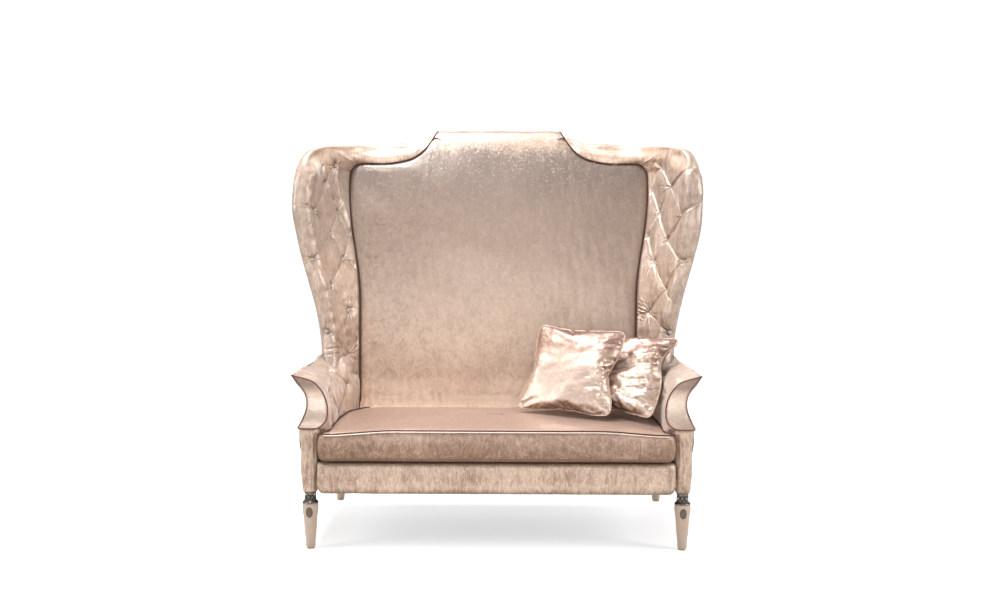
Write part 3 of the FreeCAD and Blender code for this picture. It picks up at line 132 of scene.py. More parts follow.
def natural(knots, values, samples):
    """A natural cubic spline through rows of values at knots, read at samples."""
    k = np.asarray(knots, float)
    v = np.asarray(values, float)
    flat = v.reshape(len(k), -1)
    n, h = len(k), np.diff(k)
    a = np.eye(n)
    rhs = np.zeros_like(flat)
    for i in range(1, n - 1):
        a[i, i - 1:i + 2] = h[i - 1], 2 * (h[i - 1] + h[i]), h[i]
        rhs[i] = 6 * ((flat[i + 1] - flat[i]) / h[i] - (flat[i] - flat[i - 1]) / h[i - 1])
    m = np.linalg.solve(a, rhs)
    s = np.clip(np.asarray(samples, float), k[0], k[-1])
    j = np.clip(np.searchsorted(k, s, side="right") - 1, 0, n - 2)
    t0, t1, w = (s - k[j])[:, None], (k[j + 1] - s)[:, None], h[j][:, None]
    out = (m[j] * t1 ** 3 + m[j + 1] * t0 ** 3) / (6 * w)
    out += (flat[j] / w - m[j] * w / 6) * t1 + (flat[j + 1] / w - m[j + 1] * w / 6) * t0
    return out.reshape((len(s),) + v.shape[1:])


def chord_curve(points, counts):
    """Samples along a smooth curve through points, with counts steps in each of its spans."""
    p = np.asarray(points, float)
    knots = np.concatenate([[0], np.cumsum(np.linalg.norm(np.diff(p, axis=0), axis=1))])
    s = [knots[0]]
    for i, count in enumerate(counts):
        s += list(knots[i] + (knots[i + 1] - knots[i]) * np.arange(1, count + 1) / count)
    return natural(knots, p, s)


def even_curve(points, step):
    """Evenly spaced samples of a smooth curve through points."""
    dense = chord_curve(points, [24] * (len(points) - 1))
    run = np.concatenate([[0], np.cumsum(np.linalg.norm(np.diff(dense, axis=0), axis=1))])
    count = max(int(run[-1] / step), 2)
    s = np.linspace(0, run[-1], count + 1)
    return np.stack([np.interp(s, run, dense[:, i]) for i in range(dense.shape[1])], 1)


def waves(p, seed, size, count=14):
    """Soft noise of about one in size: waves in random directions, about size metres long."""
    rng = np.random.default_rng(seed)
    out = np.zeros(p.shape[:-1])
    for _ in range(count):
        way = rng.normal(size=3)
        way *= rng.uniform(0.6, 1.6) * 2 * math.pi / size / np.linalg.norm(way)
        out += np.sin(p @ way + rng.uniform(0, 2 * math.pi))
    return out * math.sqrt(2.0 / count)


def grid_normals(p):
    du = np.gradient(p, axis=0)
    dv = np.gradient(p, axis=1)
    n = np.cross(dv, du)
    return n / np.maximum(np.linalg.norm(n, axis=-1, keepdims=True), 1e-9)


def run_along(p, axis):
    """Length along a grid's rows or columns, from the first point of each."""
    steps = np.linalg.norm(np.diff(p, axis=axis), axis=-1)
    zero = np.zeros_like(np.take(steps, [0], axis=axis))
    return np.cumsum(np.concatenate([zero, steps], axis=axis), axis=axis)


def line_distance(p, line):
    """Distance of each point from a polyline, and the share along the line where it is nearest."""
    flat = p.reshape(-1, p.shape[-1])
    best = np.full(len(flat), 1e9)
    along = np.zeros(len(flat))
    for i in range(len(line) - 1):
        a, b = line[i], line[i + 1]
        d = b - a
        t = np.clip(((flat - a) @ d) / max(float(d @ d), 1e-12), 0, 1)
        r = np.linalg.norm(flat - a - t[:, None] * d, axis=1)
        near = r < best
        best[near] = r[near]
        along[near] = (i + t[near]) / (len(line) - 1)
    return best.reshape(p.shape[:-1]), along.reshape(p.shape[:-1])


def new_object(name, verts, faces, material, body="frame", slot=None, replaces=(), shade=True):
    mesh = bpy.data.meshes.new(name)
    mesh.from_pydata([tuple(map(float, v)) for v in verts], [], [tuple(map(int, f)) for f in faces])
    mesh.validate()
    if shade:
        mesh.polygons.foreach_set("use_smooth", [True] * len(mesh.polygons))
    obj = bpy.data.objects.new(name, mesh)
    bpy.context.scene.collection.objects.link(obj)
    mesh.materials.append(material)
    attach(obj, body)
    if replaces:
        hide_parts(*replaces)
    return obj


def grid_faces(rows, cols, start=0, closed=False, flip=False):
    faces = []
    last = cols if closed else cols - 1
    for i in range(rows - 1):
        for j in range(last):
            k = (j + 1) % cols
            a, b = start + i * cols + j, start + i * cols + k
            c, d = start + (i + 1) * cols + k, start + (i + 1) * cols + j
            faces.append((d, c, b, a) if flip else (a, b, c, d))
    return faces


def join_grids(grids):
    """Points and faces of several grids: each is (points, closed, flip)."""
    verts, faces = [], []
    for p, closed, flip in grids:
        faces += grid_faces(p.shape[0], p.shape[1], len(verts), closed, flip)
        verts += list(p.reshape(-1, 3))
    return verts, faces


def add_parts(verts, faces, more, more_faces):
    """Appends the points and faces of another piece to those of a first one."""
    faces += [tuple(i + len(verts) for i in f) for f in more_faces]
    verts += more


def grid_object(name, p, material, flip=False, closed=False, **kw):
    verts, faces = join_grids([(p, closed, flip)])
    return new_object(name, verts, faces, material, **kw)


def side_name(name, s):
    return name + ("_right" if s > 0 else "_left")


def mirrored(p, s):
    return p * np.array([s, 1.0, 1.0])


def tube_grid(path, radius, sides=10, closed=False):
    """Rings of points round a path, with parallel frames so that it doesn't twist."""
    path = np.asarray(path, float)
    n = len(path)
    if closed:
        tangent = np.roll(path, -1, 0) - np.roll(path, 1, 0)
    else:
        tangent = np.gradient(path, axis=0)
    tangent /= np.maximum(np.linalg.norm(tangent, axis=1, keepdims=True), 1e-9)
    up = np.array([0.0, 0.0, 1.0]) if abs(tangent[0][2]) < 0.9 else np.array([1.0, 0.0, 0.0])
    a = np.cross(tangent[0], up)
    a /= np.linalg.norm(a)
    firsts = []
    for t in tangent:
        a = a - t * (a @ t)
        a /= np.linalg.norm(a)
        firsts.append(a)
    if closed:
        end = firsts[-1] - tangent[0] * (firsts[-1] @ tangent[0])
        twist = math.atan2(np.cross(end, firsts[0]) @ tangent[0], end @ firsts[0])
    else:
        twist = 0.0
    rings = []
    radii = np.broadcast_to(radius, (n,))
    for i in range(n):
        b = np.cross(tangent[i], firsts[i])
        ang = np.arange(sides) * 2 * math.pi / sides + twist * i / n
        rings.append(path[i] + radii[i] * (np.cos(ang)[:, None] * firsts[i] + np.sin(ang)[:, None] * b))
    grid = np.array(rings)
    if closed:
        grid = np.concatenate([grid, grid[:1]], 0)
    return grid


def tube_parts(paths, radius, sides=10, closed=False):
    """Points and faces of tubes along several paths, with their open ends capped."""
    verts, faces = [], []
    for path in paths:
        g = tube_grid(path, radius, sides, closed)
        start = len(verts)
        faces += grid_faces(g.shape[0], sides, start, True)
        verts += list(g.reshape(-1, 3))
        if not closed:
            faces.append(tuple(start + j for j in range(sides)))
            top = start + (g.shape[0] - 1) * sides
            faces.append(tuple(top + sides - 1 - j for j in range(sides)))
    return verts, faces


# Materials

class Nodes:
    """Short ways to add and link a material's nodes."""

    def __init__(self, name):
        self.material = bpy.data.materials.new(name)
        self.material.use_nodes = True
        self.tree = self.material.node_tree
        self.tree.nodes.clear()
        self.out = self.add("ShaderNodeOutputMaterial")
        self.bsdf = self.add("ShaderNodeBsdfPrincipled")
        self.tree.links.new(self.bsdf.outputs[0], self.out.inputs[0])
        self.coord = self.add("ShaderNodeTexCoord").outputs["Object"]

    def add(self, kind, **kw):
        node = self.tree.nodes.new(kind)
        for key, value in kw.items():
            setattr(node, key, value)
        return node

    def put(self, socket, value):
        if isinstance(value, bpy.types.NodeSocket):
            self.tree.links.new(value, socket)
        elif value is not None:
            socket.default_value = value

    def mapping(self, scale=(1, 1, 1), turn=(0, 0, 0)):
        node = self.add("ShaderNodeMapping")
        self.put(node.inputs["Vector"], self.coord)
        node.inputs["Scale"].default_value = scale
        node.inputs["Rotation"].default_value = turn
        return node.outputs[0]

    def noise(self, scale, detail=4.0, rough=0.55, distort=0.0, vector=None):
        node = self.add("ShaderNodeTexNoise")
        self.put(node.inputs["Vector"], vector or self.coord)
        node.inputs["Scale"].default_value = scale
        node.inputs["Detail"].default_value = detail
        node.inputs["Roughness"].default_value = rough
        node.inputs["Distortion"].default_value = distort
        return node.outputs["Fac"]

    def ramp(self, value, stops):
        node = self.add("ShaderNodeValToRGB")
        self.put(node.inputs[0], value)
        while len(node.color_ramp.elements) < len(stops):
            node.color_ramp.elements.new(0.5)
        for element, (at, colour) in zip(node.color_ramp.elements, stops):
            element.position = at
            if isinstance(colour, (int, float)):
                colour = (colour, colour, colour)
            element.color = (*colour, 1.0)
        return node.outputs[0]

    def mix(self, factor, a, b, mode="MIX"):
        node = self.add("ShaderNodeMix", data_type="RGBA", blend_type=mode)
        self.put(node.inputs[0], factor)
        self.put(node.inputs[6], (*a, 1.0) if isinstance(a, tuple) else a)
        self.put(node.inputs[7], (*b, 1.0) if isinstance(b, tuple) else b)
        return node.outputs[2]

    def math(self, kind, a, b=None, clamp=False):
        node = self.add("ShaderNodeMath", operation=kind, use_clamp=clamp)
        self.put(node.inputs[0], a)
        self.put(node.inputs[1], b)
        return node.outputs[0]

    def bump(self, height, strength, distance, under=None):
        node = self.add("ShaderNodeBump")
        self.put(node.inputs["Height"], height)
        node.inputs["Strength"].default_value = strength
        node.inputs["Distance"].default_value = distance
        if under is not None:
            self.put(node.inputs["Normal"], under)
        return node.outputs[0]

    def finish(self, **values):
        for key, value in values.items():
            self.put(self.bsdf.inputs[key.replace("_", " ")], value)
        return self.material


def crushed_velvet(name, light, deep, mottle=1.0, streak=(1.0, 1.0, 0.35), shine=0.35, down_shade_steps=(0.25, 0.52),
                   under=(0.66, 0.56, 0.47), top=(0.84, 0.76, 0.72), crown=(0.93, 0.985), breaks=0.16,
                   light_by_height=None, drift=0.25, glints_by_height=None, sheen=0.8, gloss=0.42,
                   crease_shade_ridge_light=(0.42, 0.80, 1.22), coat=0.6, smudges=None, rough=(0.50, 0.36)):
    """Short silky pile, pressed in patches, so its lightness and gloss shift over the cloth. Painted
    shade and highlight are laid over it by facing, in creases, on ridges and by height.
    """
    m = Nodes(name)
    stretched = m.mapping(scale=streak)
    broad = m.noise(4.2, 3.0, 0.5, 0.5, stretched)
    patch = m.noise(24.0, 5.0, 0.62, 1.0, stretched)
    speck = m.noise(88.0, 5.0, 0.66, 0.8, stretched)
    fine = m.noise(230.0, 3.0, 0.6, 0.4)
    pile = m.noise(1500.0, 2.0, 0.5)
    tone = m.mix(0.5, m.ramp(broad, [(0.3, 0.0), (0.7, 1.0)]), m.ramp(patch, [(0.36, 0.0), (0.66, 1.0)]))
    tone = m.mix(0.42, tone, m.ramp(speck, [(0.40, 0.0), (0.62, 1.0)]))
    tone = m.mix(0.15, tone, m.ramp(fine, [(0.35, 0.0), (0.68, 1.0)]))
    # pale flecks: partly the crushed cloth's own marks, partly painted glints
    flecks = m.ramp(m.noise(105.0, 4.0, 0.7, 1.2), [(0.56, 0.0), (0.66, 1.0)])
    colour = m.mix(m.math("MULTIPLY", tone, mottle, True), deep, light)
    # painted shade by facing: cloth that turns down is darkened towards under, and darker still as it
    # faces the floor; cloth that faces straight up takes the top tint, which is painted shade too
    split = m.add("ShaderNodeSeparateXYZ")
    m.put(split.inputs[0], m.add("ShaderNodeNewGeometry").outputs["Normal"])
    lean = m.math("ADD", m.math("MULTIPLY", split.outputs[2], 0.5), 0.5)
    lean = m.math("ADD", lean, m.math("MULTIPLY", m.math("SUBTRACT", patch, 0.5), breaks))
    lean = m.math("ADD", lean, m.math("MULTIPLY", m.math("SUBTRACT", speck, 0.5), breaks))
    lean = m.math("ADD", lean, m.math("MULTIPLY", m.math("SUBTRACT", broad, 0.5), breaks * 0.7))
    lower = tuple(c ** 1.9 for c in under)
    colour = m.mix(1.0, colour, m.ramp(lean, [(down_shade_steps[0] - 0.20, lower), (down_shade_steps[0], under), (down_shade_steps[1], 1.0),
                                              (crown[0], 1.0), (crown[1], top)]), "MULTIPLY")
    # painted shade in creases and painted highlight along ridges, read from the mesh's pointiness
    bend = m.add("ShaderNodeNewGeometry").outputs["Pointiness"]
    colour = m.mix(1.0, colour, m.ramp(bend, [(0.43, crease_shade_ridge_light[0]), (0.485, crease_shade_ridge_light[1]), (0.50, 1.0),
                                              (0.515, 1.0), (0.56, crease_shade_ridge_light[2])]), "MULTIPLY")
    strength = 0.30 * mottle
    if light_by_height or glints_by_height or smudges:
        place = m.add("ShaderNodeSeparateXYZ")
        m.put(place.inputs[0], m.coord)
        level = m.math("ADD", place.outputs[2],
                       m.math("MULTIPLY", m.math("SUBTRACT", broad, 0.5), drift))
        level = m.math("ADD", level, m.math("MULTIPLY", m.math("SUBTRACT", speck, 0.5), drift * 0.8))
        level = m.math("MULTIPLY", level, 0.5)
    # painted light by height: the colour is lightened or darkened in bands up the part, where it is lit
    # or shaded
    if light_by_height:
        colour = m.mix(1.0, colour, m.ramp(level, [(z / 2, tint) for z, tint in light_by_height]), "MULTIPLY")
    if smudges:
        side = m.math("ADD", place.outputs[0], m.math("MULTIPLY", m.math("SUBTRACT", broad, 0.5), 0.35))
        side = m.ramp(m.math("ADD", m.math("MULTIPLY", side, 0.5), 0.5),
                      [(0.5 + x / 2, share) for x, share in smudges])
        spots = m.ramp(m.noise(34.0, 8.0, 0.74, 1.4, stretched), [(0.50, 0.0), (0.64, 1.0)])
        colour = m.mix(m.math("MULTIPLY", spots, side), colour,
                       m.mix(1.0, colour, (0.72, 0.65, 0.58), "MULTIPLY"))
    # painted highlight: the flecks grow stronger in some height bands
    if glints_by_height:
        strength = m.ramp(level, [(z / 2, share) for z, share in glints_by_height])
    bright = tuple(min(c * 1.5 + 0.06, 1.0) for c in light)
    colour = m.mix(m.math("MULTIPLY", flecks, strength), colour, bright)
    rough = m.ramp(tone, [(0.0, rough[0]), (1.0, rough[1])])
    height = m.math("ADD", m.math("MULTIPLY", patch, 0.55), m.math("MULTIPLY", speck, 0.45))
    height = m.math("ADD", height, m.math("MULTIPLY", fine, 0.2))
    normal = m.bump(height, 0.42, 0.005, m.bump(pile, 0.12, 0.0006))
    return m.finish(Base_Color=colour, Roughness=rough, Metallic=shine, Normal=normal,
                    Coat_Weight=coat, Coat_IOR=2.1, Coat_Roughness=gloss, Coat_Normal=normal,
                    Sheen_Weight=sheen, Sheen_Roughness=0.30, Sheen_Tint=(1.0, 0.96, 0.93, 1.0))


def corded(name, light, deep):
    """Narrow bias-cut cover over a cord: fine slanting threads, little gloss."""
    m = Nodes(name)
    tone = m.ramp(m.noise(420.0, 3.0, 0.6, 0.3), [(0.3, 0.0), (0.7, 1.0)])
    return m.finish(Base_Color=m.mix(tone, deep, light), Roughness=0.62, Metallic=0.0,
                    Specular_IOR_Level=0.3, Normal=m.bump(tone, 0.3, 0.0006))


def woven(name, colour, second, scale=900.0, rough=0.85):
    m = Nodes(name)
    waves_ = []
    for turn in ((0, 0, 0), (0, 0, math.pi / 2)):
        node = m.add("ShaderNodeTexWave", wave_type="BANDS", bands_direction="DIAGONAL")
        m.put(node.inputs["Vector"], m.mapping(turn=turn))
        node.inputs["Scale"].default_value = scale / 6
        node.inputs["Distortion"].default_value = 1.5
        waves_.append(node.outputs["Fac"])
    weave = m.math("MULTIPLY", waves_[0], waves_[1])
    tone = m.mix(0.5, m.noise(14.0, 4.0), weave)
    return m.finish(Base_Color=m.mix(tone, second, colour), Roughness=rough,
                    Normal=m.bump(weave, 0.3, 0.0008), Sheen_Weight=0.2, Sheen_Roughness=0.5)


def timber(name, light, dark, along=(1, 12, 12), rough=0.6, coat=0.0):
    m = Nodes(name)
    grain = m.noise(9.0, 6.0, 0.6, 1.4, m.mapping(scale=along))
    fibre = m.noise(120.0, 3.0, 0.6, 0.3, m.mapping(scale=along))
    tone = m.mix(0.35, m.ramp(grain, [(0.35, 0.0), (0.65, 1.0)]), fibre)
    return m.finish(Base_Color=m.mix(tone, dark, light), Roughness=rough, Coat_Weight=coat,
                    Normal=m.bump(fibre, 0.15, 0.0008))


def metal(name, light, dark, rough=0.35):
    m = Nodes(name)
    tone = m.ramp(m.noise(160.0, 4.0, 0.6, 0.6), [(0.35, 0.0), (0.7, 1.0)])
    return m.finish(Base_Color=m.mix(tone, dark, light), Metallic=1.0,
                    Roughness=m.ramp(tone, [(0.0, rough + 0.15), (1.0, rough)]),
                    Normal=m.bump(m.noise(500.0, 3.0), 0.08, 0.0004))


# Wings, outsides and crest ends. The bands by height are painted light: lighter low on the wings and
# much lighter on the shoulders and top border.
VELVET = crushed_velvet("velvet", (0.60, 0.45, 0.352), (0.27, 0.182, 0.128), breaks=0.24, shine=0.5,
                        crown=(0.87, 0.95), top=(0.66, 0.60, 0.56), drift=0.15,
                        light_by_height=((0.60, 1.05), (0.80, 1.22), (1.0, 1.22), (1.20, 1.02),
                                 (1.36, 1.02), (1.45, 1.6)))
# A lighter copy of the velvet for the arms, which is painted light; near the top, where the arm meets
# the wing, it is darkened back.
ARM_VELVET_PAINTED_LIGHT = crushed_velvet("arm_velvet_painted_light", (0.88, 0.71, 0.59), (0.44, 0.315, 0.235), breaks=0.24,
                            shine=0.4, drift=0.08, light_by_height=((0.60, 1.0), (0.66, 0.95), (0.72, 0.66)))
# The back pad. The bands by height are painted light: bright at the foot, darker up the tilted upper
# part and bright on the crest's roll, where the pale flecks also gather as a painted highlight.
PANEL_VELVET = crushed_velvet("panel_velvet", (0.49, 0.355, 0.275), (0.29, 0.20, 0.142), 1.0,
                              (1.0, 1.0, 0.75), 0.3, breaks=0.22, sheen=0.35, crown=(0.89, 0.97),
                              top=(0.59, 0.50, 0.45), drift=0.20, gloss=0.34, coat=0.5,
                              smudges=((-0.58, 1.0), (-0.42, 0.8), (-0.20, 0.15), (0.15, 0.0)),
                              light_by_height=((0.44, (1.9, 1.85, 1.8)), (0.56, (1.40, 1.32, 1.22)),
                                       (0.72, (1.25, 1.19, 1.11)),
                                       (0.95, (1.0, 0.98, 0.95)), (1.25, (0.80, 0.80, 0.82)),
                                       (1.40, (0.56, 0.57, 0.60)), (1.49, (0.50, 0.51, 0.54)),
                                       (1.545, (1.10, 1.10, 1.10))),
                              glints_by_height=((0.50, 0.08), (1.10, 0.10), (1.40, 0.40), (1.50, 0.9), (1.56, 0.3)))
# The seat cushion. Its wide shade range darkens the upright front and the tucked-under bottom edge:
# painted shade.
SEAT_VELVET = crushed_velvet("seat_velvet", (0.56, 0.395, 0.315), (0.34, 0.22, 0.162), 0.9,
                             (1.3, 1.0, 0.6), 0.25, (0.46, 0.74), (0.64, 0.53, 0.40), (0.90, 0.87, 0.86),
                             breaks=0.5, sheen=0.12, coat=0.2,
                             smudges=((-0.62, 1.0), (-0.30, 0.6), (-0.10, 0.1), (0.35, 0.1),
                                      (0.62, 0.7)))
# Scatter cushions. The bands by height are painted light: lighter low down and a darker band near their
# tops.
SCATTER_VELVET = crushed_velvet("scatter_velvet", (0.64, 0.495, 0.405), (0.40, 0.275, 0.205), 0.9,
                                (1.0, 1.0, 1.0), 0.55, (0.40, 0.58), (0.42, 0.32, 0.24),
                                (0.70, 0.54, 0.48), (0.81, 0.88), breaks=0.14, sheen=0.3, gloss=0.26,
                                crease_shade_ridge_light=(0.30, 0.76, 1.2), rough=(0.42, 0.27), drift=0.10,
                                light_by_height=((0.52, 1.22), (0.64, 1.12), (0.70, (0.82, 0.70, 0.64)),
                                         (0.73, (0.60, 0.46, 0.40)), (0.775, (0.66, 0.53, 0.47)),
                                         (0.79, 0.95)))
APRON_VELVET = crushed_velvet("apron_velvet", (0.74, 0.54, 0.41), (0.28, 0.175, 0.11), 1.0,
                              (1.5, 1.5, 0.42), 0.3, breaks=0.5, sheen=0.15, coat=0.3,
                              under=(0.62, 0.50, 0.40))
# Hollow arm fronts. The bands by height are painted light: a bright band across the middle and darker
# cloth below it and above it up to the tip.
FACING_VELVET = crushed_velvet("facing_velvet", (0.66, 0.515, 0.42), (0.44, 0.32, 0.245), 0.9,
                               (0.5, 1.0, 2.5), 0.55, sheen=0.6, drift=0.04, gloss=0.34,
                               light_by_height=((0.455, (0.74, 0.70, 0.67)), (0.50, (1.1, 1.1, 1.1)),
                                        (0.54, (1.5, 1.55, 1.6)), (0.575, (1.4, 1.43, 1.46)),
                                        (0.605, (0.62, 0.58, 0.55)), (0.65, (0.75, 0.72, 0.70))))
# Near-black velvet for the rings round the buttons: painted shadow in the button pits.
SHADOW_RING_VELVET = crushed_velvet("shadow_ring_velvet", (0.16, 0.105, 0.075), (0.08, 0.052, 0.036), 0.9,
                             (1.0, 1.0, 1.0), 0.1, sheen=0.1)
BUTTON_VELVET = crushed_velvet("button_velvet", (0.72, 0.58, 0.48), (0.52, 0.40, 0.32), 0.9,
                               (1.0, 1.0, 1.0), 0.4)
# Pale velvet for a thin strip below the seat cushion's front piping: a painted highlight.
HIGHLIGHT_STRIP_VELVET = crushed_velvet("highlight_strip_velvet", (0.86, 0.74, 0.64), (0.70, 0.56, 0.46), 0.9,
                             (1.0, 1.0, 1.0), 0.3)
PIPING = corded("piping_velvet", (0.105, 0.040, 0.026), (0.050, 0.019, 0.013))
SCATTER_PIPING = crushed_velvet("scatter_piping", (0.50, 0.345, 0.27), (0.30, 0.195, 0.15), 1.0,
                                (1.0, 1.0, 1.0), 0.3)
FACING_PIPING = corded("facing_piping", (0.20, 0.085, 0.060), (0.11, 0.046, 0.033))
ROSE_PIPING = corded("rose_piping", (0.36, 0.165, 0.12), (0.22, 0.095, 0.068))
LEG_COVER = woven("leg_cover", (0.66, 0.52, 0.41), (0.44, 0.32, 0.235), 700.0, 0.55)
LINING = woven("lining", (0.030, 0.027, 0.027), (0.016, 0.014, 0.014))
WEBBING = woven("webbing", (0.05, 0.045, 0.04), (0.02, 0.018, 0.017), 500.0)
TIMBER = timber("timber", (0.52, 0.36, 0.21), (0.36, 0.23, 0.12))
BOARD = timber("board", (0.56, 0.41, 0.26), (0.40, 0.27, 0.15), (3, 3, 9))
LEG_WOOD = timber("leg_wood", (0.62, 0.49, 0.37), (0.46, 0.34, 0.24), (12, 12, 1), 0.4, 0.4)
STEEL = metal("steel", (0.55, 0.56, 0.58), (0.40, 0.41, 0.43))
COLLAR = metal("collar_metal", (0.30, 0.275, 0.25), (0.10, 0.086, 0.074), 0.26)
COLLAR_DARK = metal("collar_dark", (0.09, 0.075, 0.065), (0.04, 0.032, 0.028), 0.4)
BADGE = woven("badge_plate", (0.20, 0.145, 0.10), (0.10, 0.07, 0.048), 500.0, 0.6)
BADGE_RIM = metal("badge_rim", (0.10, 0.08, 0.065), (0.05, 0.04, 0.03), 0.35)
GLIDE = timber("glide", (0.50, 0.34, 0.18), (0.38, 0.25, 0.13), (2, 2, 2), 0.5)
ZIP = woven("zip", (0.36, 0.27, 0.22), (0.20, 0.15, 0.12), 400.0, 0.6)

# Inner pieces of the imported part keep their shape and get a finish
SLOT_MATERIALS = {"timber": TIMBER, "board": BOARD, "steel": STEEL, "webbing": WEBBING,
                  "lining": LINING, "velvet": VELVET, "scatter_velvet": SCATTER_VELVET,
                  "dark_piping": PIPING, "leg_cover": LEG_COVER, "leg_wood": LEG_WOOD,
                  "collar_metal": COLLAR, "badge": BADGE, "glide": GLIDE, "zip": ZIP}
for part in frame["record"]["subparts"]:
    node = frame["nodes"][part["node"]]
    node.data.materials.clear()
    node.data.materials.append(SLOT_MATERIALS[part["material_slot"]])

# Wings and top border

# Buttons as (height, share across the wing's face); a share over 1 lies on the front roll.
BUTTONS = {
    "right": [(1.436, 0.35), (1.345, 0.50), (1.335, 0.07), (1.244, 0.25), (1.229, 0.82),
              (1.149, 0.08), (1.135, 0.50), (1.045, 0.30), (1.053, 1.05), (0.939, 0.76),
              (0.844, 0.36), (0.770, 1.20)],
    "left": [(1.450, 0.41), (1.354, 0.53), (1.246, 0.82), (1.244, 0.26), (1.154, 0.48),
             (1.155, 0.06), (1.057, 1.05), (1.054, 0.29), (0.950, 0.74), (0.849, 0.33),
             (0.772, 1.17), (0.668, 0.38)],
}
# Pleats: each runs through buttons (by number) or through points of the face (height, share), and is
# so many millimetres deep and wide.
PLEATS = {
    "right": [((0, 1), 3.5, 4.5), ((0, (1.40, 0.17), 2), 3.0, 5), ((1, 3), 3.5, 4), ((1, 4), 2.5, 4),
              ((2, 3), 3.0, 4), ((3, 5), 3.5, 4), ((3, 6), 3.0, 4), ((4, 6), 5.0, 5), ((5, 7), 3.0, 4),
              ((6, 7), 3.5, 4), ((6, 8), 2.5, 4), ((7, 9), 2.5, 4), ((8, 9), 2.5, 4), ((9, 10), 3.0, 4),
              ((9, (0.90, 1.05)), 1.2, 4), ((1, (1.385, 0.80), (1.42, 1.15)), 3.5, 5),
              ((4, (1.262, 1.02), (1.285, 1.2)), 3.0, 5), ((8, (1.07, 1.2)), 1.5, 4),
              ((2, (1.32, 0.0)), 1.5, 4), ((5, (1.13, 0.0)), 3.0, 4), ((10, (0.83, 0.0)), 1.5, 4),
              ((0, (1.50, 0.33), (1.54, 0.36)), 4.0, 6), ((10, 11), 0.8, 4)],
    "left": [((0, 1), 1.5, 6), (((1.425, 0.66), (1.385, 0.60), 1, (1.295, 0.37), 3), 7.5, 7),
             ((3, (1.20, 0.17), 5), 4.5, 6), ((1, (1.30, 0.64), 2), 1.0, 4), ((2, 4), 0.8, 4),
             ((3, 4), 0.6, 4), ((4, 6), 1.0, 4), ((4, 7), 0.6, 4), ((5, 7), 0.6, 4), ((6, 8), 0.8, 4),
             ((7, 8), 0.5, 4), ((8, 9), 0.5, 4), ((2, (1.275, 1.1)), 2.0, 5), ((6, (1.07, 1.2)), 1.0, 4),
             ((5, (1.145, 0.0)), 2.5, 4), ((7, (1.03, 0.10), (1.00, 0.0)), 1.2, 4),
             ((10, 11), 2.0, 8), ((10, (0.70, 1.30)), 2.0, 9),
             (((0.70, 1.25), (0.705, 0.90), (0.69, 0.50)), 2.6, 4),
             (((0.678, 1.25), (0.682, 1.0), (0.68, 0.75)), 2.0, 4), ((11, (0.645, 0.8)), 2.5, 6)],
}
STRONG_STARS = {("left", 2), ("left", 0), ("left", 11), ("right", 1), ("right", 7), ("right", 10)}
# How much the face swells between its buttons, in metres, and how far a button's hollow reaches
SWELL = {"right": (0.0125, 0.034), "left": (0.0065, 0.030)}
FACE_COLS, NOSE_COLS, SIDE_COLS, OUT_COLS = (24, 24, 24, 24), (8,), (7, 7), (14, 14)


def key_rows():
    """Sections of the wing and top border: (distance along, control points from seam to rear)."""
    rows = []
    for z in (0.56, 0.63, 0.70, 0.77, 0.84, 0.98, 1.12, 1.26, 1.36, 1.40):
        low = smooth((0.76 - z) / 0.12)
        a = np.array([panel_x(z) + 0.003, back_y(z), z])
        d = np.array([wing_x(z) - 0.030, wing_y(z) - 0.030 * low, z])
        c = d + np.array([-0.028, 0.006, 0.0])
        e = np.array([wing_x(z), wing_y(z) + 0.030, z])
        f = np.array([rear_x(z), rear_y(z), z])
        corner = np.array([e[0], d[1], z])
        rows.append((z, a, c, d, corner, e, f, -0.005))
    bends = [
        (1.455, (0.6086, 1.4152), (0.7387, -0.0599, 1.455), (0.7687, -0.0299, 1.455),
         (0.705, 0.412, 1.455), -0.001),
        (1.515, (0.5959, 1.4325), (0.722, -0.005, 1.487), (0.752, 0.025, 1.480),
         (0.690, 0.418, 1.478), 0.003),
        (1.64, (0.5786, 1.4415), (0.672, 0.100, 1.506), (0.693, 0.138, 1.510),
         (0.656, 0.424, 1.497), 0.006),
        (1.80, (0.560, 1.443), (0.600, 0.235, 1.514), (0.612, 0.285, 1.522),
         (0.595, 0.428, 1.503), 0.009)]
    for rho, (ax, az), d, e, f, bow in bends:
        a, d, e, f = np.array([ax, back_y(az), az]), np.array(d), np.array(e), np.array(f)
        way = a - d
        c = d + 0.024 * way / np.linalg.norm(way)
        corner = np.array([max(d[0], e[0]), d[1], max(d[2], e[2])])
        rows.append((rho, a, c, d, corner, e, f, bow))
    tops = [(1.89, (0.500, 1.4435), (0.515, 1.525)), (1.985, (0.448, 1.445), (0.420, 1.531)),
            (2.03, (0.367, 1.463), (0.377, 1.532)), (2.07, (0.333, 1.480), (0.340, 1.541)),
            (2.10, (0.305, 1.507), (0.310, 1.551)), (2.125, (0.285, 1.538), (0.288, 1.558)),
            (2.155, (0.268, 1.558), (0.262, 1.563))]
    for rho, (ax, az), (tx, tz) in tops:
        a = np.array([ax, back_y(min(az, CREST_FRONT)), az])
        d = np.array([tx, a[1] + 0.030, tz - 0.010])
        way = a - d
        c = d + 0.3 * way * min(0.024 / np.linalg.norm(way) * 3, 1.0)
        e = np.array([tx, a[1] + 0.076, tz])
        f = np.array([tx, rear_y(tz) - 0.002, tz - 0.023])
        corner = np.array([tx, d[1], e[2] + 0.002])
        rows.append((rho, a, c, d, corner, e, f, 0.011))
    return rows


